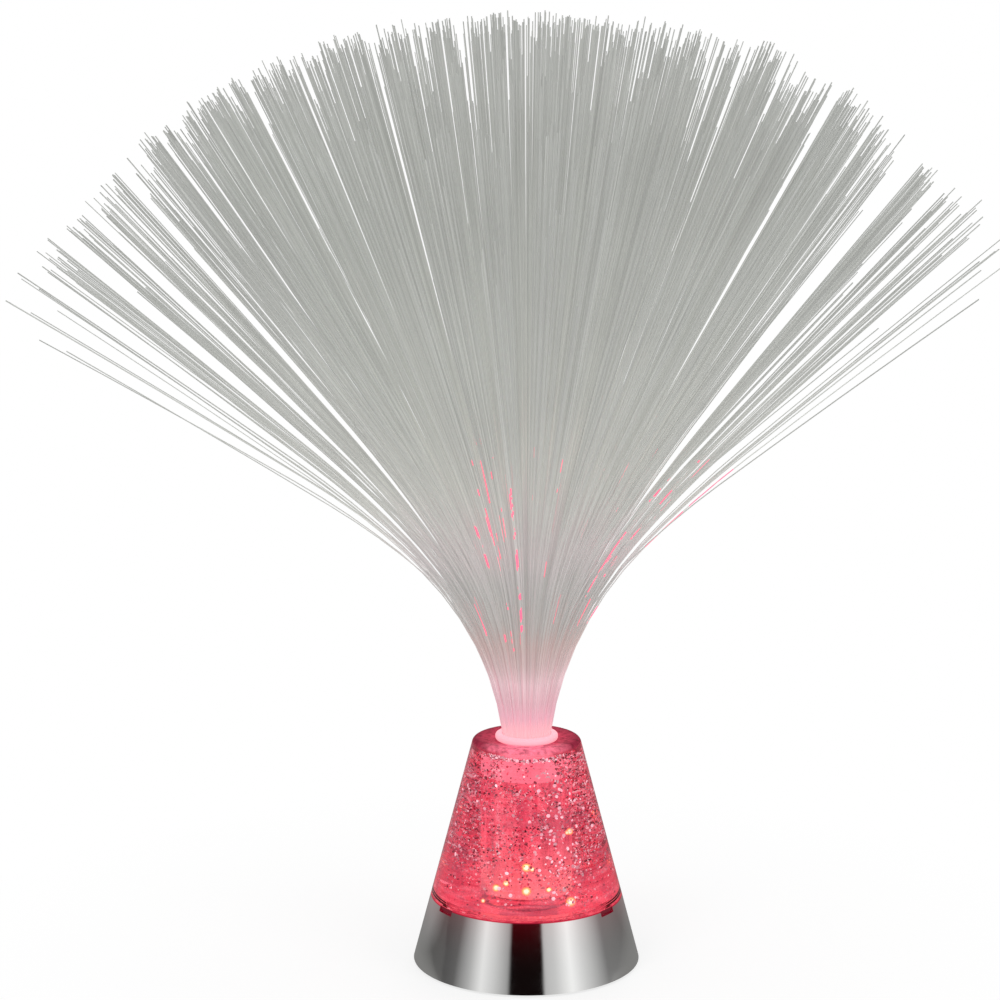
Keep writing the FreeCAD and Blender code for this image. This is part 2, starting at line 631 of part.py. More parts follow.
# ---------------------------------------------------------------- base plate
def make_base_plate():
    disc = cylinder("plate_disc", PLATE_EDGE, "plate_thickness", z="plate_lift")
    roof_top = f"({ROOF_BOTTOM} + bay_roof)"
    half_x = f"({BAY_HALF_WIDTH} + bay_wall)"
    half_y = f"({BAY_HALF_LENGTH} + bay_wall)"
    bay_bottom = f"({DOOR_TOP} + door_seat_gap)"
    tray = box("bay_block", (f"-{half_x}", half_x), (f"-{half_y}", half_y), (bay_bottom, roof_top))
    post_top = f"({PLATE_TOP} + door_post_height)"
    solids = [disc, tray]
    solids.append(cylinder("door_post", "door_post_radius", f"{post_top} - {bay_bottom}",
                           y=DOOR_SCREW_Y, z=bay_bottom))
    tools = []
    for index, (x, y) in enumerate(corners("screw_x", "screw_y")):
        tag = index + 1
        solids.append(cylinder(f"screw_well_{tag}", "screw_well_radius", "screw_well_height",
                               x, y, "plate_lift"))
        seat = "(plate_lift + screw_well_height - screw_head)"
        tools.append(cylinder(f"screw_hole_{tag}", "screw_radius + screw_clearance", "screw_well_height + 2",
                              x, y, "plate_lift - 1"))
        tools.append(cylinder(f"screw_sink_{tag}", "screw_head_radius + screw_clearance",
                              f"{seat} - plate_lift + 1", x, y, "plate_lift - 1"))
    for index, (x, y) in enumerate(corners("foot_x", FOOT_Y)):
        tools.append(cylinder(f"foot_recess_{index + 1}", "foot_radius + glue_gap", "foot_recess + 1",
                              x, y, "plate_lift - 1"))

    # Opening for the cells, closed by the door; its rim is the door's outline and a gap.
    inner_x = BAY_HALF_WIDTH
    opening_y = f"({DOOR_HALF_LENGTH} + door_gap)"
    tools.append(box("bay_space", (f"-{inner_x}", inner_x), (f"-{BAY_HALF_LENGTH}", BAY_HALF_LENGTH),
                     ("plate_lift - 1", ROOF_BOTTOM)))
    tools.append(box("door_opening", (f"-{inner_x}", inner_x), (f"-{opening_y}", opening_y),
                     ("plate_lift - 1", bay_bottom)))
    tongue_x = "(tongue_half_width + door_gap)"
    tongue_y = f"({DOOR_HALF_LENGTH} + tongue_reach + door_gap)"
    tools.append(box("tongue_opening", (f"-{tongue_x}", tongue_x), ("0", tongue_y),
                     ("plate_lift - 1", bay_bottom)))
    tools.append(cylinder("door_screw_hole", "door_screw_radius + door_screw_clearance",
                          f"{post_top} - {bay_bottom} + 2", y=DOOR_SCREW_Y, z=f"{bay_bottom} - 1"))

    # Notches and pin holes for the door's two hinge arms.
    arm_gap = "hinge_clearance * 4"
    for side in (1, -1):
        edges = sorted((f"{side} * (hinge_arm_inner - {arm_gap})", f"{side} * (hinge_arm_outer + {arm_gap})"),
                       key=value)
        tools.append(box(f"hinge_notch_{side + 2}", edges, (f"{HINGE_Y} - knuckle_radius - door_gap", "0"),
                         ("plate_lift - 1", bay_bottom)))
        reach = "(hinge_pin_length + hinge_clearance)"
        low, high = sorted((f"{side} * (hinge_arm_inner - {reach})", f"{side} * (hinge_arm_outer + {reach})"),
                           key=value)
        tools.append(cylinder(f"hinge_hole_{side + 2}", "hinge_pin_radius + hinge_clearance",
                              f"({high}) - ({low})", low, HINGE_Y, "hinge_height",
                              Rotation(Vector(0, 1, 0), 90)))

    # Slots in the bay's roof for the two solder tabs.
    for side in (1, -1):
        x = f"({side} * {CELL_PITCH})"
        ends = sorted((f"{side} * ({BAY_HALF_LENGTH} - contact_thickness - glue_gap)",
                       f"{side} * {BAY_HALF_LENGTH}"), key=value)
        half = "(tab_width / 2 + glue_gap)"
        tools.append(box(f"tab_slot_{side + 2}", (f"{x} - {half}", f"{x} + {half}"), ends,
                         (f"{ROOF_BOTTOM} - 1", f"{roof_top} + 1")))

    # Slide switch: two seats, a slot for the knob, screw pilots and raised I and O marks.
    ear = f"(switch_length / 2 + switch_ear / 2)"
    for side in (1, -1):
        y = f"{side} * {ear}"
        solids.append(cylinder(f"switch_seat_{side + 2}", "switch_width / 2 - 0.2", f"switch_lift + 0.5",
                               "switch_x", y, f"{PLATE_TOP} - 0.5"))
        bore = "switch_screw_radius + thread_clearance"
        depth = "(switch_screw_reach + thread_clearance)"
        tools.append(cylinder(f"switch_pilot_{side + 2}", bore, depth, "switch_x", y,
                              f"{SWITCH_BASE} - {depth}"))
    slot_half = "(knob_length / 2 + switch_travel / 2 + slider_clearance)"
    slot_x = "(knob_width / 2 + slider_clearance)"
    tools.append(box("knob_slot", (f"switch_x - {slot_x}", f"switch_x + {slot_x}"),
                     (f"-{slot_half}", slot_half), ("plate_lift - 1", f"{PLATE_TOP} + 1")))
    bar_half = "(mark_stroke / 2)"
    mark_range = ("plate_lift - mark_height", "plate_lift + 0.2")
    bar = box("mark_on", (f"switch_x - {bar_half}", f"switch_x + {bar_half}"),
              ("mark_distance - mark_size", "mark_distance + mark_size"), mark_range)
    ring_disc = cylinder("mark_off_disc", "mark_size", "mark_height + 0.2", "switch_x", "-mark_distance",
                         mark_range[0])
    ring_hole = cylinder("mark_off_hole", "mark_size - mark_stroke", "mark_height", "switch_x",
                         "-mark_distance", mark_range[0])
    solids += [bar, cut("mark_off", ring_disc, [ring_hole])]
    keep(cut("base_plate", fused("plate_solid", solids), tools), "base_plate")


def make_feet_and_screws():
    feet = []
    for index, (x, y) in enumerate(corners("foot_x", FOOT_Y)):
        foot = turned(f"foot_turning_{index + 1}", [
            ("0", "0"),
            ("foot_radius", "0"),
            ("foot_radius", "plate_lift + foot_recess"),
            ("0", "plate_lift + foot_recess"),
        ])
        foot = rounded(foot, f"foot_{index + 1}", [("foot_radius", "0")], "foot_round")
        feet.append(place(foot, x, y))
    grouped("rubber_feet", feet)

    screws = []
    seat = "(plate_lift + screw_well_height - screw_head)"
    for index, (x, y) in enumerate(corners("screw_x", "screw_y")):
        screws.append(screw(f"base_screw_{index + 1}", "screw_radius", "screw_reach - screw_head",
                            "screw_head_radius", "screw_head", x, y, seat))
    grouped("base_screws", screws)


def screw(name, radius, reach, head_radius, head, x, y, seat, flip=False):
    """A pan head screw: its shank leaves the seat upwards, or downwards when flipped."""
    overlap = f"{head} / 8"
    shank_foot = f"{seat} - ({reach})" if flip else f"{seat} - {overlap}"
    head_foot = seat if flip else f"{seat} - ({head})"
    shank = cylinder(name + "_shank", radius, f"{reach} + {overlap}", x, y, shank_foot)
    cap = cylinder(name + "_cap", head_radius, head, x, y, head_foot)
    drive_foot = f"{head_foot} + {head} / 2" if flip else f"{head_foot} - 0.1"
    drives = []
    for turn in (45, -45):
        drive = doc.addObject("Part::Box", f"{name}_drive_{turn + 45}")
        bind(drive, "Length", f"1.3 * {head_radius}")
        bind(drive, "Width", f"0.25 * {head_radius}")
        bind(drive, "Height", f"{head} / 2 + 0.1")
        along, across = f"0.65 * {head_radius}", f"0.125 * {head_radius}"
        place(drive, f"{x} - {along} * cos({turn}) + {across} * sin({turn})",
              f"{y} - {along} * sin({turn}) - {across} * cos({turn})", drive_foot, Rotation(UP, turn))
        drives.append(drive)
    return cut(name, fused(name + "_blank", [shank, cap]), drives)


# ---------------------------------------------------------------- battery door
def make_door():
    half_x = f"({BAY_HALF_WIDTH} - door_gap)"
    panel = box("door_panel", (f"-{half_x}", half_x), (f"-{DOOR_HALF_LENGTH}", DOOR_HALF_LENGTH),
                ("plate_lift", DOOR_TOP))
    tongue_end = f"({DOOR_HALF_LENGTH} + tongue_reach)"
    tongue = box("door_tongue", ("-tongue_half_width", "tongue_half_width"), ("0", tongue_end),
                 ("plate_lift", DOOR_TOP))
    pieces = [panel, tongue]
    sideways = Rotation(Vector(0, 1, 0), 90)
    for side in (1, -1):
        low, high = sorted((f"{side} * hinge_arm_inner", f"{side} * hinge_arm_outer"), key=value)
        pieces.append(box(f"hinge_arm_{side + 2}", (low, high), (HINGE_Y, "0"), ("plate_lift", DOOR_TOP)))
        pieces.append(cylinder(f"hinge_knuckle_{side + 2}", "knuckle_radius", f"({high}) - ({low})",
                               low, HINGE_Y, "hinge_height", sideways))
        pin_length = f"({high}) - ({low}) + 2 * hinge_pin_length"
        pieces.append(cylinder(f"hinge_pin_{side + 2}", "hinge_pin_radius", pin_length,
                               f"{low} - hinge_pin_length", HINGE_Y, "hinge_height", sideways))
    grips = []
    for index in range(GRIP_COUNT):
        y = f"({DOOR_HALF_LENGTH} - grip_inset - {index} * grip_pitch)"
        grips.append(box(f"door_grip_{index + 1}", ("-grip_half_length", "grip_half_length"),
                         (f"{y} - grip_width / 2", f"{y} + grip_width / 2"),
                         ("plate_lift - 1", "plate_lift + grip_depth")))
    hole = cylinder("door_screw_pass", "door_screw_radius + glue_gap", "door_thickness + 2",
                    y=DOOR_SCREW_Y, z="plate_lift - 1")
    sink = cylinder("door_screw_sink", "door_screw_head_radius + glue_gap", "door_screw_head + 1",
                    y=DOOR_SCREW_Y, z="plate_lift - 1")
    keep(cut("battery_door", fused("door_solid", pieces), [hole, sink] + grips), "battery_door")
    fastener = screw("battery_door_screw", "door_screw_radius", "door_screw_reach", "door_screw_head_radius",
                     "door_screw_head", "0", DOOR_SCREW_Y, "plate_lift + door_screw_head")
    keep(fastener, "battery_door_screw")


# ---------------------------------------------------------------- cells and contacts
def tube_along(points, radius):
    """A tube on straight runs joined by tangent arcs, as large as the runs allow."""
    edges = []
    start = points[0]
    for before, corner, after in zip(points, points[1:], points[2:]):
        arriving = (corner - before).normalize()
        leaving = (after - corner).normalize()
        turn = arriving.getAngle(leaving)
        trim = 0.45 * min(corner.distanceToPoint(before), corner.distanceToPoint(after))
        bend = trim / math.tan(turn / 2)
        entry = corner - arriving * trim
        leave = corner + leaving * trim
        inward = (leaving - arriving).normalize()
        centre = corner + inward * (bend / math.cos(turn / 2))
        middle = centre - inward * bend
        edges.append(Part.LineSegment(start, entry).toShape())
        edges.append(Part.Arc(entry, middle, leave).toShape())
        start = leave
    edges.append(Part.LineSegment(start, points[-1]).toShape())
    ring = Part.Wire([Part.Circle(points[0], points[1] - points[0], radius).toShape()])
    return Part.Wire(edges).makePipe(Part.Face(ring)).Solids[0]

def spring(x, side):
    """A tapering coil that stands on the contact plate at one end of the bay."""
    radius = value("spring_radius")
    foot = value(f"{BAY_HALF_LENGTH} - contact_thickness - spring_wire / 2 - glue_gap / 2")
    rise = value("spring_length - spring_wire - glue_gap")
    steps = int(value("spring_turns") * SPRING_SIDES)
    points = []
    for step in range(steps + 1):
        done = step / steps
        angle = 2 * math.pi * step / SPRING_SIDES
        reach = radius * (1 - (1 - value("spring_taper")) * done)
        points.append(Vector(x + reach * math.cos(angle), side * (foot - rise * done),
                             value(CELL_HEIGHT) + reach * math.sin(angle)))
    return tube_along(points, value("spring_wire / 2"))


def make_cells():
    springs = []
    toward_y = Rotation(Vector(1, 0, 0), -90)
    away_from_y = Rotation(Vector(1, 0, 0), 90)
    for index in range(CELL_COUNT):
        side = 1 if index % 2 == 0 else -1
        x = f"({index - (CELL_COUNT - 1) / 2} * {CELL_PITCH})"
        name = f"battery_cell_{index + 1}"
        cell = turned(name + "_turning", [
            ("0", "0"),
            ("cell_radius", "0"),
            ("cell_radius", "cell_body"),
            ("cell_nub_radius", "cell_body"),
            ("cell_nub_radius", CELL_LENGTH),
            ("0", CELL_LENGTH),
        ])
        cell = rounded(cell, name, [("cell_radius", "0"), ("cell_radius", "cell_body")], "cell_round")
        turn = toward_y if side > 0 else away_from_y
        tail = f"({BAY_HALF_LENGTH} - contact_thickness - {CELL_LENGTH})"
        place(cell, x, f"{side} * {tail}", CELL_HEIGHT, turn)
        keep(cell, name)

        springs.append(spring(value(x), -side))
    shaped("battery_springs", Part.makeCompound(springs))

    plates = []
    half = "(cell_radius - contact_side)"
    for side in (1, -1):
        wall = sorted((f"{side} * ({BAY_HALF_LENGTH} - contact_thickness)", f"{side} * {BAY_HALF_LENGTH}"),
                      key=value)
        heights = (f"{CELL_HEIGHT} - contact_height / 2", f"{CELL_HEIGHT} + contact_height / 2")
        lone = f"({side} * {CELL_PITCH})"
        single = box(f"contact_single_{side + 2}", (f"{lone} - {half}", f"{lone} + {half}"), wall, heights)
        tab_top = f"({ROOF_BOTTOM} + bay_roof + tab_rise)"
        tab = box(f"contact_tab_{side + 2}", (f"{lone} - tab_width / 2", f"{lone} + tab_width / 2"), wall,
                  (CELL_HEIGHT, tab_top))
        plates.append(fused(f"contact_end_{side + 2}", [single, tab]))
        pair = sorted(("0", f"{-side} * {CELL_PITCH}"), key=value)
        plates.append(box(f"contact_pair_{side + 2}", (f"{pair[0]} - {half}", f"{pair[1]} + {half}"),
                          wall, heights))
    grouped("battery_contacts", plates)


# ---------------------------------------------------------------- switch
def make_switch():
    half_y = "(switch_length / 2)"
    half_x = "(switch_width / 2)"
    ear_end = f"({half_y} + switch_ear)"
    x_range = (f"switch_x - {half_x}", f"switch_x + {half_x}")
    can = box("switch_can", x_range, (f"-{half_y}", half_y), (SWITCH_BASE, f"{SWITCH_BASE} + switch_height"))
    ears = box("switch_ears", x_range, (f"-{ear_end}", ear_end), (SWITCH_BASE, EAR_TOP))
    wall = "switch_wall"
    cavity = box("switch_cavity", (f"switch_x - {half_x} + {wall}", f"switch_x + {half_x} - {wall}"),
                 (f"-{half_y} + {wall}", f"{half_y} - {wall}"),
                 (EAR_TOP, f"{SWITCH_BASE} + switch_height - {wall}"))
    slot_half = "(knob_length / 2 + switch_travel / 2 + slider_clearance)"
    slot_x = "(knob_width / 2 + slider_clearance)"
    slot = box("switch_slot", (f"switch_x - {slot_x}", f"switch_x + {slot_x}"), (f"-{slot_half}", slot_half),
               (f"{SWITCH_BASE} - 1", f"{EAR_TOP} + 0.1"))
    ear = "(switch_length / 2 + switch_ear / 2)"
    holes = [cylinder(f"ear_hole_{side + 2}", "switch_screw_radius + screw_clearance", "switch_wall + 2",
                      "switch_x", f"{side} * {ear}", f"{SWITCH_BASE} - 1") for side in (1, -1)]
    housing = cut("switch_housing", fused("switch_frame", [can, ears]), [cavity, slot] + holes)
    keep(housing, "switch_housing")

    rest_y = "(switch_travel / 2)"
    stem = box("slider_stem", ("switch_x - knob_width / 2", "switch_x + knob_width / 2"),
               (f"{rest_y} - knob_length / 2", f"{rest_y} + knob_length / 2"),
               ("knob_drop", f"{CARRIER_BASE} + 0.5"))
    carrier_x = f"({half_x} - {wall} - slider_clearance)"
    carrier = box("slider_carrier", (f"switch_x - {carrier_x}", f"switch_x + {carrier_x}"),
                  (f"{rest_y} - knob_length / 2", f"{rest_y} + knob_length / 2"),
                  (CARRIER_BASE, f"{CARRIER_BASE} + carrier_height"))
    grooves = []
    for step in (-1, 0, 1):
        y = f"({rest_y} + {step} * knob_groove_pitch)"
        grooves.append(box(f"knob_groove_{step + 2}", ("switch_x - knob_width", "switch_x + knob_width"),
                           (f"{y} - knob_groove_width / 2", f"{y} + knob_groove_width / 2"),
                           ("knob_drop - 0.5", "knob_drop + knob_groove_depth")))
    keep(cut("switch_slider", fused("slider_blank", [stem, carrier]), grooves), "switch_slider")
    screws = [screw(f"switch_screw_{side + 2}", "switch_screw_radius",
                    "switch_screw_reach + switch_wall", "switch_screw_head_radius", "switch_screw_head",
                    "switch_x", f"{side} * {ear}", EAR_TOP, flip=True) for side in (1, -1)]
    grouped("switch_screws", screws)


# ---------------------------------------------------------------- electronics
def make_electronics():
    disc = cylinder("board_disc", "board_radius", "board_thickness", z=BOARD_BOTTOM)
    holes = []
    screws = []
    for index in range(3):
        x, y = on_circle("board_screw_circle", f"(board_screw_angle + {120 * index})")
        holes.append(cylinder(f"board_hole_{index + 1}", "board_screw_radius + screw_clearance",
                              "board_thickness + 2", x, y, f"{BOARD_BOTTOM} - 1"))
        reach = "board_thickness + board_drop + board_screw_bite"
        screws.append(screw(f"board_screw_{index + 1}", "board_screw_radius", reach,
                            "board_screw_head_radius", "board_screw_head", x, y, BOARD_BOTTOM))
    keep(cut("led_board", disc, holes), "led_board")
    grouped("board_screws", screws)

    places = [("0", "0")] + [on_circle("led_circle", angle) for angle in DIAGONALS]
    windows = []
    for index, (x, y) in enumerate(places):
        tag = index + 1
        flange = cylinder(f"led_flange_{tag}", "led_flange_radius", "led_flange", x, y, BOARD_TOP)
        stem = cylinder(f"led_stem_{tag}", "led_radius", "led_height - led_radius", x, y, BOARD_TOP)
        dome = doc.addObject("Part::Sphere", f"led_dome_{tag}")
        bind(dome, "Radius", "led_radius")
        place(dome, x, y, f"{BOARD_TOP} + led_height - led_radius")
        keep(fused(f"led_{tag}", [flange, stem, dome]), f"led_{tag}")
        windows.append(cylinder(f"reflector_hole_{tag}", "led_radius + led_clearance",
                                "reflector_thickness + 2", x, y, "deck_top - 1"))
    mirror = cylinder("reflector_disc", f"{FLOOR_EDGE} - reflector_clearance", "reflector_thickness",
                      z="deck_top")
    keep(cut("reflector_plate", mirror, windows), "reflector_plate")

    chip = box("controller_chip", (f"-{PART_CIRCLE} - chip_width / 2", f"-{PART_CIRCLE} + chip_width / 2"),
               ("-chip_length / 2", "chip_length / 2"), (BOARD_TOP, f"{BOARD_TOP} + chip_height"))
    keep(chip, "controller_chip")
    resistors = []
    for index, angle in enumerate(DIAGONALS):
        x, y = on_circle("(led_circle - resistor_offset)", angle)
        resistors.append(box(f"resistor_{index + 1}",
                             (f"{x} - resistor_length / 2", f"{x} + resistor_length / 2"),
                             (f"{y} - resistor_width / 2", f"{y} + resistor_width / 2"),
                             (BOARD_TOP, f"{BOARD_TOP} + resistor_height")))
    grouped("board_resistors", resistors)
    keep(cylinder("board_capacitor", "capacitor_radius", "capacitor_height", PART_CIRCLE, "0", BOARD_TOP),
         "board_capacitor")


# ---------------------------------------------------------------- wires
def make_wires():
    """Three leads: cell to switch, switch to board and cell to board."""
    radius = value("wire_radius")
    gap = value("wire_gap")
    tab_x = value(f"{CELL_PITCH} + tab_width / 2") + radius + gap
    tab_y = value(f"{BAY_HALF_LENGTH} - contact_thickness / 2")
    lane_x = value(f"{BAY_HALF_WIDTH} + bay_wall") + radius + value("wire_lane")
    above_bay = value(f"{ROOF_BOTTOM} + bay_roof") + radius + gap
    under_board = value(BOARD_BOTTOM) - gap
    switch_top = value(f"{SWITCH_BASE} + switch_height") + 2 * gap
    switch_x = value("switch_x")
    pole = value("switch_pole")

    red = [Vector(tab_x, tab_y, above_bay)]
    red += [Vector(lane_x + out, tab_y - along, above_bay + up) for out, along, up in RED_LANE]
    red += [Vector(switch_x, pole + 1, switch_top + 4), Vector(switch_x, pole, switch_top)]
    lead = [Vector(switch_x, -pole, switch_top), Vector(switch_x, -pole - 0.5, switch_top + 3),
            Vector(switch_x - 1.8, -pole - 1.8, under_board - 2.6),
            Vector(switch_x - 2, -pole - 2, under_board)]
    black = [Vector(-tab_x, -tab_y, above_bay)]
    black += [Vector(-lane_x - out, along - tab_y, above_bay + up) for out, along, up in BLACK_LANE]
    black.append(Vector(black[-1].x, black[-1].y + 0.4, under_board))
    shaped("wire_red", tube_along(red, radius))
    shaped("wire_switch", tube_along(lead, radius))
    shaped("wire_black", tube_along(black, radius))


make_base_shell()
make_chamber()
make_ferrule()
make_strands()
make_base_plate()
make_feet_and_screws()
make_door()
make_cells()
make_switch()
make_electronics()
make_wires()
doc.recompute()

for item in doc.Objects:
    if "Invalid" in item.State or "Error" in item.State:
        raise RuntimeError(f"{item.Label} did not recompute: {item.State}")
for item in nodes:
    if item.Shape.isNull() or not item.Shape.isValid():
        raise RuntimeError(f"{item.Label} has no valid shape")

os.makedirs("parts", exist_ok=True)
for item in nodes:
    item.Shape.exportStep(f"parts/{item.Label}.step")
print(len(nodes), "sub-parts written")
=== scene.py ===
"""Looks of a battery fibre optic lamp: lit glitter chamber, plated base and a spray of clear fibres.

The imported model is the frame. Sizes are millimetres unless a comment says metres; Blender works in
metres, so a size is multiplied by MM where it enters a node, a mesh or a place.
"""
import math
import random

import bpy
import numpy as np
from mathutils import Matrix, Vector, noise


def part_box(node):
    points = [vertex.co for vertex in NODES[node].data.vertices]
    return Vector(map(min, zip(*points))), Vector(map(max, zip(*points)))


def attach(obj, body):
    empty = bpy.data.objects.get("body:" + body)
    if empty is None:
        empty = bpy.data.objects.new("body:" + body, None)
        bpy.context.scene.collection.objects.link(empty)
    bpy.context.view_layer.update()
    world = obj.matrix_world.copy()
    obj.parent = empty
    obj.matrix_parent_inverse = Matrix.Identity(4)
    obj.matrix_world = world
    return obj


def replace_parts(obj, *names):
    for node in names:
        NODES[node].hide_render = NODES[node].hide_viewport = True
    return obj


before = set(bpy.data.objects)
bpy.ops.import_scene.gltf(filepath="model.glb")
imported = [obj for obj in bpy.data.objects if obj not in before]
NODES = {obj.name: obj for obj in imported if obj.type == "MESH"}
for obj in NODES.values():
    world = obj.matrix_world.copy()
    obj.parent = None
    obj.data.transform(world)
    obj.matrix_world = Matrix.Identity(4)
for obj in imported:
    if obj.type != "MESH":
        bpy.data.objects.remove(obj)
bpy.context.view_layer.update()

MM = 0.001

# Heights and radii of the lamp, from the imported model's own boxes.
COLLAR_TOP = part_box("fibre_ferrule")[1].z / MM
COLLAR_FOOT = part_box("fibre_ferrule")[0].z / MM
LIQUID_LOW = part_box("glitter_liquid")[0].z / MM
LIQUID_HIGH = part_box("glitter_liquid")[1].z / MM
LIQUID_FOOT_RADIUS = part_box("glitter_liquid")[1].x / MM
WELL_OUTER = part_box("well_tube")[1].x / MM
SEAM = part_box("base_shell")[1].z / MM
SPIGOT = 32.0        # radius of the chamber's foot inside the base
CONE_SLOPE = 0.265   # how much the cone's radius shrinks per height
BORE = 8.375         # radius of the fibre bundle in the collar

CAMERA_AWAY, CAMERA_UP = 850.0, 309.4
CAMERA_PITCH, CAMERA_YAW = 0.168, -0.011
CAMERA_LENS, CAMERA_SENSOR = 89.84, 36.0


# ---------------------------------------------------------------- node trees
def add(tree, kind, inputs=None, **settings):
    """A shader node with its settings, and its inputs set to values or linked to sockets."""
    item = tree.nodes.new("ShaderNode" + kind)
    for name, setting in settings.items():
        setattr(item, name, setting)
    for key, given in (inputs or {}).items():
        if isinstance(given, bpy.types.NodeSocket):
            tree.links.new(given, item.inputs[key])
        else:
            item.inputs[key].default_value = given
    return item


def result(tree, kind, inputs=None, **settings):
    """The first output of a new shader node."""
    return add(tree, kind, inputs, **settings).outputs[0]


def maths(tree, operation, first, second=0.0, third=0.0):
    return result(tree, "Math", {0: first, 1: second, 2: third}, operation=operation)


def product(tree, first, *others):
    for other in others:
        first = maths(tree, "MULTIPLY", first, other)
    return first


def span(tree, value, low, high, first=0.0, last=1.0):
    """First where the value is low, last where it is high, and in proportion between them."""
    return result(tree, "MapRange", {0: value, 1: low, 2: high, 3: first, 4: last})


def ramp(tree, factor, stops, interpolation="LINEAR"):
    """A colour ramp from (position, grey or RGB) stops."""
    item = add(tree, "ValToRGB", {0: factor})
    bar = item.color_ramp
    bar.interpolation = interpolation
    while len(bar.elements) < len(stops):
        bar.elements.new(0.5)
    for element, (position, tone) in zip(bar.elements, stops):
        element.position = position
        colour = (tone,) * 3 if isinstance(tone, (int, float)) else tone
        element.color = (*colour, 1.0)
    return item.outputs[0]


def mixed(tree, factor, first, second, blend="MIX"):
    """A mix of two colours."""
    item = add(tree, "Mix", {0: factor}, data_type="RGBA", blend_type=blend)
    for key, given in ((6, first), (7, second)):
        if isinstance(given, bpy.types.NodeSocket):
            tree.links.new(given, item.inputs[key])
        else:
            item.inputs[key].default_value = (*given[:3], 1.0)
    return item.outputs[2]


def either(tree, factor, first, second):
    """A mix of two shaders."""
    return result(tree, "MixShader", {0: factor, 1: first, 2: second})


def object_place(tree):
    """The shaded point in the object's own metres."""
    return add(tree, "TexCoord").outputs["Object"]


def object_axes(tree):
    return add(tree, "SeparateXYZ", {0: object_place(tree)}).outputs


def from_axis(tree, x, y):
    """Distance from the lamp's own axis."""
    return maths(tree, "SQRT", maths(tree, "ADD", product(tree, x, x), product(tree, y, y)))


def noisy(tree, scale, detail=3.0, roughness=0.5, vector=None, distortion=0.0):
    return result(tree, "TexNoise", {"Vector": vector or object_place(tree), "Scale": scale, "Detail": detail,
                                     "Roughness": roughness, "Distortion": distortion})


def stretched(tree, x, y, z):
    """Object coordinates scaled by axis."""
    return result(tree, "Mapping", {"Vector": object_place(tree), "Scale": (x, y, z)})


def bumped(tree, height, strength, distance):
    return result(tree, "Bump", {"Height": height, "Strength": strength, "Distance": distance})


def emission(tree, colour, strength=1.0):
    return result(tree, "Emission", {"Color": colour, "Strength": strength})


def material(name):
    made = bpy.data.materials.new(name)
    made.use_nodes = True
    made.node_tree.nodes.clear()
    return made, made.node_tree


def finish_with(tree, surface):
    add(tree, "OutputMaterial", {"Surface": surface})


def dress(name, made):
    """Give a CAD node one material."""
    slots = NODES[name].data.materials
    slots.clear()
    slots.append(made)


# ---------------------------------------------------------------- plain finishes
PLAIN = {  # dark and light colour, range of roughness, scale of the mottling, more settings, and the nodes
    "black_plastic": ((0.022, 0.022, 0.024), (0.040, 0.040, 0.042), (0.42, 0.62), 90.0,
                      {"grain": 0.35, "grain_scale": 2600.0},
                      ("base_plate", "battery_door", "controller_chip")),
    "white_plastic": ((0.72, 0.72, 0.69), (0.80, 0.80, 0.78), (0.35, 0.5), 120.0, {"grain": 0.1},
                      ("switch_slider",)),
    "black_rubber": ((0.020, 0.020, 0.020), (0.045, 0.044, 0.042), (0.7, 0.9), 400.0, {"grain": 0.5},
                     ("rubber_feet",)),
    "white_rubber": ((0.66, 0.65, 0.62), (0.78, 0.77, 0.74), (0.5, 0.7), 300.0, {"grain": 0.2},
                     ("filler_plug",)),
    "plated_steel": ((0.52, 0.53, 0.55), (0.68, 0.69, 0.70), (0.22, 0.42), 500.0,
                     {"metallic": 1.0, "grain": 0.2},
                     ("base_screws", "battery_door_screw", "board_screws", "switch_screws",
                      "switch_housing", "battery_springs", "battery_contacts")),
    "cell_jacket": ((0.015, 0.03, 0.075), (0.03, 0.055, 0.12), (0.22, 0.38), 250.0, {"grain": 0.1},
                    ("battery_cell_1", "battery_cell_2", "battery_cell_3")),
    "circuit_board": ((0.012, 0.10, 0.035), (0.02, 0.16, 0.06), (0.28, 0.45), 700.0, {"grain": 0.3},
                      ("led_board",)),
    "resistor_body": ((0.02, 0.02, 0.022), (0.06, 0.06, 0.065), (0.35, 0.5), 900.0, {},
                      ("board_resistors",)),
    "capacitor_can": ((0.45, 0.46, 0.48), (0.6, 0.61, 0.62), (0.2, 0.36), 600.0, {"metallic": 1.0},
                      ("board_capacitor",)),
    "red_insulation": ((0.30, 0.008, 0.008), (0.42, 0.02, 0.018), (0.38, 0.55), 500.0, {},
                       ("wire_red", "wire_switch")),
    "black_insulation": ((0.015, 0.015, 0.015), (0.03, 0.03, 0.03), (0.4, 0.55), 500.0, {},
                         ("wire_black",)),
}


def coated(name, dark, light, roughness, scale, metallic=0.0, grain=0.0, grain_scale=4000.0):
    """Moulded, plated or painted surface: mottled colour, uneven gloss, fine grain and rubbed spots."""
    made, tree = material(name)
    cloud = ramp(tree, noisy(tree, scale, 5.0, 0.6), ((0.3, 0.0), (0.7, 1.0)))
    rubbed = ramp(tree, noisy(tree, scale * 9.0, 4.0, 0.7), ((0.42, 0.0), (0.72, 1.0)))
    inputs = {"Base Color": mixed(tree, cloud, dark, light), "Metallic": metallic,
              "Roughness": span(tree, rubbed, 0.0, 1.0, *roughness)}
    if grain:
        inputs["Normal"] = bumped(tree, noisy(tree, grain_scale, 2.0), grain, 0.1 * MM)
    finish_with(tree, result(tree, "BsdfPrincipled", inputs))
    return made


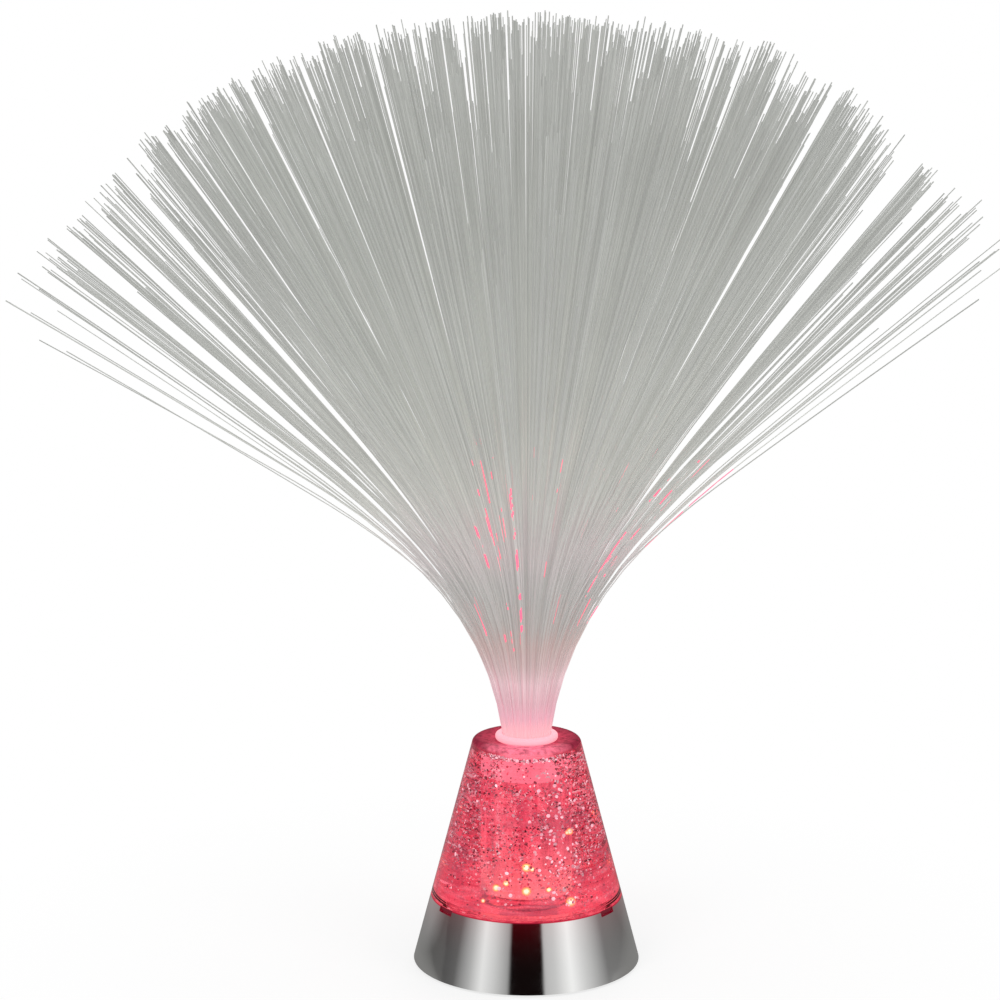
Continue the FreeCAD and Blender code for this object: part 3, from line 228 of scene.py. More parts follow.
def chrome():
    """Bright plating on a moulded cone, with flow waves and hairlines; painted red light from the chamber
    rises towards its rim, with a painted red lip at the seam.
    """
    made, tree = material("bright_plating")
    waves = noisy(tree, 55.0, 2.0, 0.4)
    hair = noisy(tree, 60.0, 6.0, 0.7, stretched(tree, 1.0, 1.0, 60.0))
    haze = noisy(tree, 140.0, 5.0, 0.6)
    shade = mixed(tree, haze, (0.86, 0.865, 0.86), (0.90, 0.90, 0.885))
    height = maths(tree, "ADD", waves, product(tree, hair, 0.04))
    level = object_axes(tree)[2]
    # Painted red glow, strongest near the top, and a painted red lip just below the seam, in base colour and
    # emission.
    lit = maths(tree, "POWER", span(tree, level, 4.0 * MM, 23.5 * MM), 3.0)
    painted_red_lip = span(tree, level, (SEAM - 0.35) * MM, (SEAM - 0.15) * MM)
    glow = mixed(tree, lit, (0.003, 0.001, 0.001), (0.050, 0.0002, 0.002))
    finish_with(tree, result(tree, "BsdfPrincipled", {
        "Base Color": mixed(tree, painted_red_lip, shade, (0.35, 0.03, 0.05)), "Metallic": 1.0,
        "Roughness": span(tree, haze, 0.35, 0.75, 0.05, 0.11),
        "Emission Color": mixed(tree, painted_red_lip, glow, (0.30, 0.010, 0.030)), "Emission Strength": 1.0,
        "Normal": bumped(tree, height, 0.10, 0.4 * MM)}))
    return made


# ---------------------------------------------------------------- clear parts
def acrylic(name, tint, wet):
    """Polished acrylic: it refracts where it meets air and disappears where the liquid wets it."""
    made, tree = material(name)
    x, y, z = object_axes(tree)
    radius = from_axis(tree, x, y)
    gloss = ramp(tree, noisy(tree, 90.0, 4.0), ((0.4, 0.0), (0.9, 0.03)))
    surface = result(tree, "BsdfGlass", {"Color": (*tint, 1.0), "Roughness": gloss, "IOR": 1.42,
                                         "Normal": bumped(tree, noisy(tree, 45.0, 2.0), 0.06, 0.6 * MM)})

    # The lugs in the base's notches: painted dark shade, with a faint painted red glow.
    in_notch = product(tree, maths(tree, "LESS_THAN", z, SEAM * MM),
                       maths(tree, "GREATER_THAN", radius, (SPIGOT + 0.15) * MM))
    painted_notch_shade = result(tree, "BsdfPrincipled", {"Base Color": (0.08, 0.001, 0.006, 1.0), "Roughness": 0.25,
                                           "Emission Color": (0.075, 0.0, 0.006, 1.0),
                                           "Emission Strength": 1.0})
    surface = either(tree, in_notch, surface, painted_notch_shade)

    # The cone's lower edge: a painted red glow, as if it takes the red from below.
    on_foot = maths(tree, "COMPARE", z, (SEAM + 0.2) * MM, 0.12 * MM)
    foot = ramp(tree, noisy(tree, 240.0, 5.0, 0.7, stretched(tree, 1.0, 1.0, 3.0)),
                ((0.36, (0.38, 0.020, 0.045)), (0.50, (0.76, 0.058, 0.100)), (0.62, (0.96, 0.13, 0.17))))
    surface = either(tree, on_foot, surface, emission(tree, foot))

    # The roof round the collar: a painted glow, blotched maroon, darker outwards, with painted light brighter
    # in front.
    outward = span(tree, radius, 11.5 * MM, 18.0 * MM)
    maroon = mixed(tree, outward, (0.52, 0.050, 0.090), (0.20, 0.016, 0.036))
    painted_front_light = span(tree, maths(tree, "DIVIDE", y, radius), -0.50, -0.95)
    maroon = mixed(tree, painted_front_light, maroon, (0.95, 0.20, 0.29))
    blotch = ramp(tree, noisy(tree, 420.0, 5.0, 0.7), ((0.35, 0.45), (0.5, 1.0), (0.68, 1.5)))
    maroon = mixed(tree, 1.0, maroon, blotch, "MULTIPLY")
    roof = result(tree, "BsdfPrincipled", {"Base Color": (0.06, 0.006, 0.012, 1.0), "Roughness": 0.12,
                                           "Specular IOR Level": 0.0,
                                           "Emission Color": maroon, "Emission Strength": 1.0})
    in_roof = span(tree, z, (COLLAR_TOP - 3.6) * MM, (COLLAR_TOP - 2.6) * MM, 0.0, 0.93)
    surface = either(tree, in_roof, surface, roof)

    path = add(tree, "LightPath").outputs
    lets_light = maths(tree, "MAXIMUM", path["Is Shadow Ray"], path["Is Diffuse Ray"])
    if wet:
        lets_light = maths(tree, "MAXIMUM", lets_light, wetted(tree))
    clear = result(tree, "BsdfTransparent", {"Color": (*tint, 1.0)})
    finish_with(tree, either(tree, lets_light, surface, clear))
    return made


def wetted(tree):
    """1 on the faces that touch the liquid: between the tube and the cone's inside, below the level."""
    x, y, z = object_axes(tree)
    radius = from_axis(tree, x, y)
    cone = maths(tree, "SUBTRACT", (LIQUID_FOOT_RADIUS + CONE_SLOPE * LIQUID_LOW + 0.6) * MM,
                 product(tree, z, CONE_SLOPE))
    return product(tree,
                   maths(tree, "GREATER_THAN", radius, (WELL_OUTER - 0.5) * MM),
                   maths(tree, "LESS_THAN", radius, cone),
                   maths(tree, "LESS_THAN", z, (LIQUID_HIGH + 0.3) * MM),
                   maths(tree, "GREATER_THAN", z, (LIQUID_LOW - 0.1) * MM))


DARKER_CLOUDS = (  # place and radius of darker clouds in the liquid's painted glow
    ((26.0, -9.0, 43.0), 7.0), ((20.0, -13.0, 57.0), 3.0), ((-23.0, -13.0, 43.0), 4.0),
    ((-19.0, -14.0, 58.0), 3.0), ((25.0, -19.0, 36.0), 3.5), ((30.0, -8.0, 31.0), 3.0),
    ((-30.0, -10.0, 33.0), 1.5),
)


def darker_patches(tree, drift):
    """Where the painted glow is darker: scattered patches and the listed clouds, with frayed edges."""
    patch = ramp(tree, noisy(tree, 62.0, 3.0, 0.6, None, 0.5), ((0.46, 0.0), (0.62, 0.75)))
    for spot, reach in DARKER_CLOUDS:
        away = add(tree, "VectorMath", {0: object_place(tree), 1: [value * MM for value in spot]},
                   operation="DISTANCE").outputs["Value"]
        frayed = maths(tree, "ADD", away, product(tree, drift, 12.0 * MM))
        cloud = span(tree, frayed, (reach + 3.0) * MM, (reach + 9.0) * MM, 0.75, 0.0)
        patch = maths(tree, "MAXIMUM", patch, cloud)
    return patch


def lit_liquid():
    """The skin of the liquid: a thin see-through painted glow outside, a fuller streaked one round the tube.
    """
    made, tree = material("lit_liquid")
    x, y, z = object_axes(tree)
    on_tube = maths(tree, "LESS_THAN", from_axis(tree, x, y), (WELL_OUTER + 0.4) * MM)
    beside_collar = product(tree, maths(tree, "GREATER_THAN", z, COLLAR_FOOT * MM), on_tube)
    # Painted light, strongest near the floor above the lamps.
    low = span(tree, z, 24.0 * MM, 46.0 * MM, 1.0, 0.0)

    drift = noisy(tree, 130.0, 5.0, 0.65, stretched(tree, 1.0, 1.0, 0.8), 0.6)
    streak = noisy(tree, 260.0, 3.0, 0.6, stretched(tree, 1.0, 1.0, 0.10))
    rings = noisy(tree, 210.0, 4.0, 0.6, stretched(tree, 0.30, 0.30, 3.2), 0.3)
    pattern = mixed(tree, on_tube, mixed(tree, 0.5, drift, rings), streak)
    tone = ramp(tree, pattern, ((0.34, (0.36, 0.036, 0.075)), (0.45, (0.78, 0.090, 0.150)),
                                (0.56, (1.0, 0.175, 0.235)), (0.68, (1.0, 0.36, 0.42))))
    # Painted sparkle in the glow.
    painted_sparkle = ramp(tree, noisy(tree, 1500.0, 3.0, 0.8),
                 ((0.36, (0.40, 0.30, 0.35)), (0.46, (0.85, 0.80, 0.82)), (0.57, (1.05, 1.1, 1.1)),
                  (0.66, (1.2, 2.0, 1.9))))
    colour = mixed(tree, 0.8, tone, painted_sparkle, "MULTIPLY")
    # Painted pools of light: redder near the floor, brighter round the tube's foot, pink beside the collar.
    colour = mixed(tree, product(tree, low, 0.28), colour, (0.98, 0.15, 0.20))
    colour = mixed(tree, product(tree, low, on_tube, 0.8), colour, (1.0, 0.38, 0.34))
    colour = mixed(tree, product(tree, beside_collar, 0.8), colour, (1.0, 0.38, 0.47))

    patch = product(tree, darker_patches(tree, drift), maths(tree, "SUBTRACT", 1.0, product(tree, on_tube, 0.6)))
    patch = product(tree, patch, maths(tree, "SUBTRACT", 1.0, beside_collar))
    # The painted glow, dimmed in the darker patches.
    glow = emission(tree, mixed(tree, patch, colour, (0.33, 0.060, 0.100)), 1.27)

    thin = span(tree, rings, 0.40, 0.62, 0.05, 0.36)
    thin = maths(tree, "ADD", thin, product(tree, low, 0.18))
    thin = maths(tree, "ADD", thin, product(tree, patch, 0.30))
    cover = result(tree, "Mix", {0: on_tube, 2: thin, 3: 0.80}, data_type="FLOAT")
    clear = result(tree, "BsdfTransparent", {"Color": (1.0, 0.74, 0.79, 1.0)})
    finish_with(tree, either(tree, cover, clear, glow))
    return made


def by_chance(tree, stops):
    """One of the colours for each separate flake, by chance."""
    return ramp(tree, add(tree, "NewGeometry").outputs["Random Per Island"], stops, "CONSTANT")


def glitter_finish():
    """Flakes, mostly painted glow: by chance each one dark, silver, red or pink as if lit by the lamps, or
    white as a painted glint.
    """
    made, tree = material("silver_glitter")
    tone = by_chance(tree, ((0.0, (0.03, 0.002, 0.005)), (0.14, (0.12, 0.010, 0.022)),
                            (0.25, (0.34, 0.16, 0.19)), (0.37, (0.52, 0.34, 0.38)),
                            (0.48, (0.80, 0.05, 0.10)), (0.66, (1.0, 0.14, 0.22)),
                            (0.80, (1.0, 0.46, 0.52)), (0.90, (1.0, 0.94, 0.94))))
    foil = result(tree, "BsdfPrincipled", {"Base Color": tone, "Metallic": 1.0, "Roughness": 0.22})
    finish_with(tree, either(tree, 0.25, emission(tree, tone), foil))
    return made


def spark_finish():
    """Flakes painted as glints: white, silver or pale pink, a few dark."""
    made, tree = material("bright_glitter")
    tone = by_chance(tree, ((0.0, (0.12, 0.03, 0.04)), (0.14, (0.45, 0.42, 0.43)), (0.34, (0.70, 0.62, 0.66)),
                            (0.52, (1.0, 0.80, 0.86)), (0.74, (1.0, 1.0, 1.0))))
    finish_with(tree, emission(tree, tone, span(tree, noisy(tree, 2500.0), 0.0, 1.0, 1.0, 1.9)))
    return made


# ---------------------------------------------------------------- glowing parts
def milky_collar():
    """Translucent pale plastic with a painted pink glow, as if lit pink through its foot."""
    made, tree = material("milky_collar")
    cloud = noisy(tree, 260.0, 4.0)
    up = span(tree, object_axes(tree)[2], 66.0 * MM, 81.0 * MM)
    glow = mixed(tree, up, (1.0, 0.20, 0.28), (0.92, 0.38, 0.44))
    colour = mixed(tree, product(tree, cloud, 0.25), glow, (0.96, 0.50, 0.56))
    finish_with(tree, result(tree, "BsdfPrincipled", {
        "Base Color": colour, "Roughness": 0.42, "Specular IOR Level": 0.3, "Emission Color": colour,
        "Emission Strength": 0.42, "Normal": bumped(tree, cloud, 0.05, 0.3 * MM)}))
    return made


FIBRE_TONES = (  # share of the way from collar to tip, and the colour there; the pink near the collar is painted light
    (0.0, (0.757, 0.405, 0.434)), (0.045, (0.648, 0.370, 0.432)), (0.083, (0.622, 0.410, 0.450)),
    (0.125, (0.655, 0.486, 0.512)), (0.17, (0.567, 0.446, 0.446)), (0.22, (0.523, 0.428, 0.413)),
    (0.27, (0.464, 0.441, 0.426)), (0.35, (0.470, 0.460, 0.447)), (0.45, (0.545, 0.510, 0.505)),
    (0.60, (0.530, 0.531, 0.505)), (0.85, (0.450, 0.457, 0.436)), (1.0, (0.370, 0.377, 0.359)),
)


def fibre_finish():
    """Drawn clear fibre: pale grey, a painted pink glow near the collar, and painted red light on a few
    strands.
    """
    made, tree = material("clear_fibre")
    along = add(tree, "SeparateXYZ", {0: result(tree, "UVMap", uv_map="OFBake")}).outputs[1]
    chance = add(tree, "NewGeometry").outputs["Random Per Island"]
    shade = ramp(tree, chance, ((0.0, 0.84), (0.4, 0.98), (0.9, 1.03), (1.0, 1.15)))
    shade = mixed(tree, span(tree, along, 0.02, 0.12), (1.0, 1.0, 1.0), shade)
    drift = span(tree, noisy(tree, 26.0, 3.0), 0.3, 0.7, 0.95, 1.05)
    tone = mixed(tree, 1.0, ramp(tree, along, FIBRE_TONES), shade, "MULTIPLY")
    tone = mixed(tree, 1.0, tone, drift, "MULTIPLY")
    painted_red_leak = product(tree,
                      maths(tree, "GREATER_THAN", chance, 0.970),
                      maths(tree, "GREATER_THAN", noisy(tree, 90.0, 3.0), 0.53),
                      maths(tree, "GREATER_THAN", object_axes(tree)[0], -18.0 * MM),
                      maths(tree, "COMPARE", along, 0.46, 0.24))
    colour = mixed(tree, painted_red_leak, tone, (1.0, 0.12, 0.22))
    # Painted glow all along the fibre, stronger near the collar.
    near = ramp(tree, along, ((0.0, 1.0), (0.08, 0.45), (0.20, 0.10), (0.45, 0.0)), "EASE")
    painted_glow_strength = maths(tree, "ADD", product(tree, near, 0.20), 0.30)
    finish_with(tree, result(tree, "BsdfPrincipled", {
        "Base Color": colour, "Roughness": 0.36, "Specular IOR Level": 0.35, "Emission Color": colour,
        "Emission Strength": maths(tree, "ADD", painted_glow_strength, product(tree, painted_red_leak, 0.8))}))
    return made


def led_epoxy():
    """Lit lamp: a white-yellow die in orange epoxy."""
    made, tree = material("led_epoxy")
    top = span(tree, object_axes(tree)[2], 19.0 * MM, 22.8 * MM)
    colour = ramp(tree, top, ((0.0, (0.95, 0.12, 0.10)), (0.55, (1.0, 0.45, 0.16)), (1.0, (1.0, 0.92, 0.62))))
    finish_with(tree, result(tree, "BsdfPrincipled", {
        "Base Color": colour, "Roughness": ramp(tree, noisy(tree, 900.0), ((0.3, 0.05), (0.8, 0.2))),
        "Emission Color": colour, "Emission Strength": 2.2}))
    return made


def reflector():
    """White reflector under the chamber floor, with painted red light in ripples from the lamps."""
    made, tree = material("lit_reflector")
    painted_light_ripple = noisy(tree, 160.0, 4.0, 0.6, None, 0.8)
    colour = ramp(tree, painted_light_ripple, ((0.34, (0.36, 0.010, 0.025)), (0.5, (0.95, 0.10, 0.16)),
                                 (0.66, (1.0, 0.36, 0.34))))
    finish_with(tree, result(tree, "BsdfPrincipled", {
        "Base Color": (0.85, 0.5, 0.5, 1.0), "Roughness": 0.4, "Emission Color": colour,
        "Emission Strength": 0.85}))
    return made


def glint_finish():
    """A painted glint: a soft spark, warm in the middle and gone at its rim."""
    made, tree = material("lamp_glint")
    middle = maths(tree, "SUBTRACT", 1.0, add(tree, "LayerWeight", {"Blend": 0.5}).outputs["Facing"])
    colour = ramp(tree, middle, ((0.0, (1.0, 0.10, 0.12)), (0.62, (1.0, 0.26, 0.06)),
                                 (0.84, (1.0, 0.62, 0.14)), (0.95, (0.95, 1.0, 0.62))))
    glow = emission(tree, colour, span(tree, noisy(tree, 1500.0), 0.0, 1.0, 2.1, 2.9))
    finish_with(tree, either(tree, maths(tree, "POWER", middle, 2.7), result(tree, "BsdfTransparent"), glow))
    return made


# ---------------------------------------------------------------- meshes
def piece(name, vertices, faces, made, body, smooth=True):
    """A mesh in millimetres, placed in the row frame and riding on a body."""
    mesh = bpy.data.meshes.new(name)
    mesh.from_pydata((np.asarray(vertices, float) * MM).tolist(), [], faces)
    mesh.materials.append(made)
    mesh.polygons.foreach_set("use_smooth", [smooth] * len(mesh.polygons))
    mesh.update()
    item = bpy.data.objects.new(name, mesh)
    bpy.context.scene.collection.objects.link(item)
    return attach(item, body)


def join(vertices, faces, more, sides):
    """Append a mesh to the vertices and faces gathered so far."""
    start = len(vertices)
    vertices += more
    faces += [tuple(start + k for k in side) for side in sides]


def lathe(outline, steps):
    """Vertices and faces of a closed outline of (radius, height) turned about Z."""
    vertices = []
    for step in range(steps):
        angle = 2 * math.pi * step / steps
        vertices += [(r * math.cos(angle), r * math.sin(angle), z) for r, z in outline]
    count = len(outline)
    faces = []
    for step in range(steps):
        a, b = step * count, (step + 1) % steps * count
        for k in range(count):
            n = (k + 1) % count
            faces.append((a + k, b + k, b + n, a + n))
    return vertices, faces


def ball(centre, radius, rings=8, steps=14):
    """Vertices and faces of a sphere with a point at its top and bottom."""
    x, y, z = centre
    vertices = [(x, y, z + radius)]
    for ring in range(1, rings):
        polar = math.pi * ring / rings
        for step in range(steps):
            angle = 2 * math.pi * step / steps
            vertices.append((x + radius * math.sin(polar) * math.cos(angle),
                             y + radius * math.sin(polar) * math.sin(angle),
                             z + radius * math.cos(polar)))
    vertices.append((x, y, z - radius))
    faces = [(0, 1 + step, 1 + (step + 1) % steps) for step in range(steps)]
    for ring in range(rings - 2):
        a, b = 1 + ring * steps, 1 + (ring + 1) * steps
        for step in range(steps):
            n = (step + 1) % steps
            faces.append((a + step, b + step, b + n, a + n))
    last = len(vertices) - 1
    a = last - steps
    faces += [(a + (step + 1) % steps, a + step, last) for step in range(steps)]
    return vertices, faces


def hexagon(spot, facing, size):
    """Vertices and face of a flake about a spot."""
    side = facing.orthogonal().normalized()
    other = facing.cross(side)
    bends = [math.radians(60 * k) for k in range(6)]
    return [spot + size * (math.cos(bend) * side + math.sin(bend) * other) for bend in bends], [range(6)]


def round_axis(reach, angle, height):
    return Vector((reach * math.cos(angle), reach * math.sin(angle), height))


def any_way(draw):
    return Vector([draw.gauss(0, 1) for _ in range(3)])


# ---------------------------------------------------------------- liquid and glitter
TUBE_GAP = 0.02  # keeps the liquid's skin clear of the tube's
FLAKE_COUNT, AFLOAT_FLAKES = 14500, 900
FLAKE_SIZES, LARGE_FLAKES, LARGE_SHARE = (0.19, 0.26, 0.35, 0.46), (0.48, 0.66), 0.035
SPARK_COUNT, AFLOAT_SPARKS = 720, 420
SPARK_SIZES, AFLOAT_SIZES = (0.38, 0.48, 0.60, 0.72), (0.32, 0.50)
SPARK_CLUSTER, CLUSTER_WIDTH, CLUSTER_SHARE = 300, 13, 0.35  # degrees from +X, and the share drawn there

GLINTS = (  # painted glints of the lamps: angle from +X in degrees, radius, height, size; the last three face the back
    (270, 16.0, 38.5, 1.8), (276, 17.0, 38.2, 1.0), (270, 22.5, 32.0, 1.9), (244, 21.5, 32.2, 1.5),
    (250.5, 18.5, 33.3, 1.2), (289.5, 21.0, 31.8, 1.1), (303.5, 26.0, 28.0, 2.1), (237, 25.5, 28.2, 0.9),
    (313, 20.0, 51.0, 1.4), (309, 20.5, 51.0, 0.9),
    (74, 22.0, 31.5, 1.5), (90, 17.0, 38.0, 1.3), (104, 23.0, 30.0, 1.7),
)


def inner_radius(height):
    """Inside radius of the chamber's cone at a height."""
    return LIQUID_FOOT_RADIUS - CONE_SLOPE * (height - LIQUID_LOW)


def make_liquid():
    outline = [(WELL_OUTER + TUBE_GAP, LIQUID_LOW), (LIQUID_FOOT_RADIUS, LIQUID_LOW),
               (inner_radius(LIQUID_HIGH), LIQUID_HIGH), (WELL_OUTER + TUBE_GAP, LIQUID_HIGH)]
    vertices, faces = lathe(outline, 128)
    item = piece("glitter_liquid_lit", vertices, faces, lit_liquid(), "base", smooth=False)
    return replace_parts(item, "glitter_liquid")


def make_flakes():
    """Thousands of hexagonal flakes: some float at the level, most drift in clouds near the wall."""
    draw = random.Random(23)
    vertices, faces = [], []
    while len(faces) < FLAKE_COUNT:
        floats = len(faces) < AFLOAT_FLAKES
        height = draw.uniform(LIQUID_LOW + 0.5, LIQUID_HIGH - 0.3)
        outer = inner_radius(height) - 0.45
        inner = WELL_OUTER + 0.5
        depth = draw.random() ** 1.8
        reach = outer - depth * (outer - inner)
        if floats:
            height, reach = LIQUID_HIGH - draw.uniform(0.5, 1.3), inner + draw.uniform(0.0, 1.2)
        spot = round_axis(reach, draw.uniform(0, 2 * math.pi), height)
        cloud = 1.2 * noise.noise(spot * 0.13) + 0.5 * noise.noise(spot * 0.40)
        if cloud < draw.uniform(-0.45, 0.60) and not floats:
            continue
        if height < LIQUID_LOW + 10 and spot.x < 0.5 * reach and draw.random() < 0.5:
            continue  # the light is clearest just above the floor, but for its right
        if height > COLLAR_FOOT and spot.y < -0.85 * reach and draw.random() < 0.75:
            continue  # few hang before the collar
        size = draw.choice(FLAKE_SIZES) if draw.random() < 1 - LARGE_SHARE else draw.uniform(*LARGE_FLAKES)
        join(vertices, faces, *hexagon(spot, any_way(draw).normalized(), size))
    item = piece("glitter_cloud", vertices, faces, glitter_finish(), "base", smooth=False)
    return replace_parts(item, "glitter_flakes")


def make_sparks():
    """The few flakes that face the light, painted as glints: a ring afloat round the tube and others near the
    wall.
    """
    draw = random.Random(41)
    vertices, faces = [], []
    for number in range(SPARK_COUNT):
        angle = draw.uniform(0, 2 * math.pi)
        if number < AFLOAT_SPARKS:
            height, reach = LIQUID_HIGH - draw.uniform(0.3, 1.2), WELL_OUTER + draw.uniform(0.6, 2.0)
            size = draw.uniform(*AFLOAT_SIZES)
        else:
            height = LIQUID_LOW + 1 + (LIQUID_HIGH - LIQUID_LOW - 4) * draw.random() ** 0.8
            reach = inner_radius(height) - draw.uniform(0.7, 2.2)
            size = draw.choice(SPARK_SIZES)
            if draw.random() < CLUSTER_SHARE:
                angle = math.radians(draw.gauss(SPARK_CLUSTER, CLUSTER_WIDTH))
        spot = round_axis(reach, angle, height)
        outward = Vector((spot.x, spot.y, 0)).normalized()
        join(vertices, faces, *hexagon(spot, (outward + 0.5 * any_way(draw)).normalized(), size))
    item = piece("glitter_sparks", vertices, faces, spark_finish(), "base", smooth=False)
    return item


def make_glints():
    """Painted glints: images of the lamps hanging in the glitter above the floor."""
    vertices, faces = [], []
    for angle, radius, height, size in GLINTS:
        join(vertices, faces, *ball(round_axis(radius, math.radians(angle), height), size))
    item = piece("lamp_glints", vertices, faces, glint_finish(), "base")
    return item


# ---------------------------------------------------------------- fibres
STRAND_COUNT = 3200
STRAND_WIDTH, WIDTH_RANGE = 0.42, (0.85, 1.2)
STRAND_SIDES = 3
STRAND_LENGTH = 250.0
USUAL_SHARE = 0.98    # of STRAND_LENGTH, for a strand of usual length
STRAND_TAPER = 0.045  # how much shorter the outermost are
STRAND_FOOT = 12.0    # how far a strand reaches down into the collar
LEAST_TILT = 0.02
PER_PIECE = 1070
STAGES = ((0.148, 0.84, 0.32), (0.84, 0.98, 0.20), (0.98, 1.0, 0.48))  # shares of tilt: from, to; of length
STEPS = (7, 4, 4)

THICK_SHARE, THICK_ANGLE, BRIM_ANGLE = 0.88, 40.5, 65.0  # the share of strands that fan evenly, and how far
LESS_TO_RIGHT, LESS_TO_FRONT = 0.10, 0.12
TUFTS, TUFT_PULL = 400, 0.60
TUFT_STRAY, STRAND_STRAY = 0.016, 0.008  # radians
PARTINGS = (  # run per rise as the photo sees it, width and push of the gaps that split the fan
    (0.10, 0.010, 0.0015), (0.20, 0.012, 0.0020), (0.31, 0.018, 0.0060), (0.375, 0.014, 0.0045),
    (0.465, 0.024, 0.0090), (0.55, 0.016, 0.0040), (0.645, 0.045, 0.0220), (0.73, 0.024, 0.0110),
    (0.80, 0.018, 0.0045), (0.89, 0.035, 0.0140), (0.97, 0.024, 0.0075), (1.06, 0.035, 0.0120),
    (1.17, 0.035, 0.0120), (-0.03, 0.010, 0.0015), (-0.12, 0.012, 0.0020), (-0.22, 0.014, 0.0040),
    (-0.30, 0.012, 0.0030), (-0.42, 0.020, 0.0060), (-0.52, 0.014, 0.0030), (-0.60, 0.020, 0.0060),
    (-0.70, 0.024, 0.0075), (-0.81, 0.030, 0.0105), (-0.92, 0.035, 0.0140), (-1.04, 0.035, 0.0160),
    (-1.17, 0.035, 0.0160), (-1.30, 0.050, 0.0160),
)
RAGGED_SLOPE, RAGGED_WIDTH = 0.50, 0.20  # run per rise where tips end unevenly, to the right
TUFT_CUT, RAGGED_CUT, REACH = 0.017, 0.045, 0.020  # shares of the length
STRAYS = (  # azimuth, tilt and length of single strands that stand out of the fan
    (210, 58.3, 245), (215, 58.5, 242), (215, 59, 225), (172.5, 52.8, 235), (170, 47.8, 242),
    (190, 54.5, 228), (-35, 54.5, 232), (-15, 50, 232), (10, 48.5, 245), (-55, 57, 235),
)


def seen_slope(lean, foot):
    """Sideways run per rise from the collar's middle to each tip, as the photo's camera sees it."""
    tilt = np.maximum(np.hypot(lean[:, 0], lean[:, 1]), LEAST_TILT)
    across, up = 0.0, 0.0
    for begin, finish, share in STAGES:
        start, stop = begin * tilt, finish * tilt
        bend = share * USUAL_SHARE * STRAND_LENGTH / (stop - start)
        across = across + bend * (np.cos(start) - np.cos(stop))
        up = up + bend * (np.sin(stop) - np.sin(start))
    x, y = (foot + (across / tilt)[:, None] * lean).T
    return x / ((CAMERA_UP - COLLAR_TOP) * (1 + y / CAMERA_AWAY) + up + COLLAR_TOP - CAMERA_UP)


def bump_at(slope, middle):
    """1 at the middle slope, falling to 0 over RAGGED_WIDTH."""
    return np.exp(-((slope - middle) / RAGGED_WIDTH) ** 2)


def strand_laws():
    """Foot, azimuth, tilt and length of every strand.

    Feet fill the collar's bore evenly. Most strands fan evenly to THICK_ANGLE, the rest thin out to
    BRIM_ANGLE; each leans towards the mean of its tuft and away from the partings, so that slits open.
    """
    draw = np.random.default_rng(5)
    rank = (np.arange(STRAND_COUNT) + 0.5) / STRAND_COUNT
    share = np.sqrt(rank)
    around = np.arange(STRAND_COUNT) * math.pi * (3 - math.sqrt(5))
    turn = np.stack([np.cos(around), np.sin(around)], axis=1)
    foot = BORE * share[:, None] * turn

    thick, brim = math.radians(THICK_ANGLE), math.radians(BRIM_ANGLE)
    tilt = np.arccos(1 - np.minimum(rank / THICK_SHARE, 1) * (1 - math.cos(thick)))
    tilt += np.clip((rank - THICK_SHARE) / (1 - THICK_SHARE), 0, 1) * (brim - thick)
    less = LESS_TO_RIGHT * np.clip(turn[:, 0], 0, 1) + LESS_TO_FRONT * np.clip(-turn[:, 1], 0, 1)
    lean = (tilt * (1 - less * share))[:, None] * turn

    middles = np.sqrt(draw.random(TUFTS)), draw.random(TUFTS) * 2 * math.pi
    middles = BORE * np.stack([middles[0] * np.cos(middles[1]), middles[0] * np.sin(middles[1])], axis=1)
    tuft = np.argmin(((foot[:, None] - middles[None]) ** 2).sum(axis=2), axis=1)
    means = np.array([lean[tuft == k].mean(axis=0) if (tuft == k).any() else (0, 0) for k in range(TUFTS)])
    stray = draw.normal(0, TUFT_STRAY, (TUFTS, 2))[tuft] + draw.normal(0, STRAND_STRAY, (STRAND_COUNT, 2))
    lean = lean * (1 - TUFT_PULL) + means[tuft] * TUFT_PULL + stray * np.minimum(1, 2 * share)[:, None]

    for slope, width, push in PARTINGS:
        beside = seen_slope(lean, foot) - slope
        lean[:, 0] += push * np.sign(beside) * np.exp(-(beside / width) ** 2)

    slope = seen_slope(lean, foot)
    ragged = bump_at(slope, RAGGED_SLOPE)
    longer = REACH * (bump_at(np.abs(slope), RAGGED_SLOPE) + ragged)
    short = draw.random(TUFTS)[tuft] * (TUFT_CUT + RAGGED_CUT * ragged) - longer
    short += np.abs(draw.normal(0, 0.009 + 0.013 * rank + 0.012 * ragged))
    length = STRAND_LENGTH * (1 - STRAND_TAPER * rank - short)
    tilt = np.maximum(np.hypot(lean[:, 0], lean[:, 1]), LEAST_TILT)
    azimuth = np.arctan2(lean[:, 1], lean[:, 0])
    laws = [(foot[k], azimuth[k], tilt[k], length[k]) for k in draw.permutation(STRAND_COUNT)]
    for way, angle, reach in STRAYS:
        way = math.radians(way)
        rim = 0.96 * BORE * np.array([math.cos(way), math.sin(way)])
        laws.append((rim, way, math.radians(angle), reach))
    return laws


def centre_line(foot, azimuth, tilt, length):
    """Points of a strand: straight through the collar, then three arcs in its own upright plane."""
    line = [(0.0, -STRAND_FOOT), (0.0, 0.0)]
    across, up = 0.0, 0.0
    for (begin, finish, share), steps in zip(STAGES, STEPS):
        start, stop = begin * tilt, finish * tilt
        bend = share * length / (stop - start)
        for step in range(1, steps + 1):
            angle = start + (stop - start) * step / steps
            line.append((across + bend * (math.cos(start) - math.cos(angle)),
                         up + bend * (math.sin(angle) - math.sin(start))))
        across, up = line[-1]
    out = np.array([math.cos(azimuth), math.sin(azimuth), 0.0])
    points = np.array([out * a + np.array([0, 0, COLLAR_TOP + u]) for a, u in line])
    return points + np.array([foot[0], foot[1], 0.0])


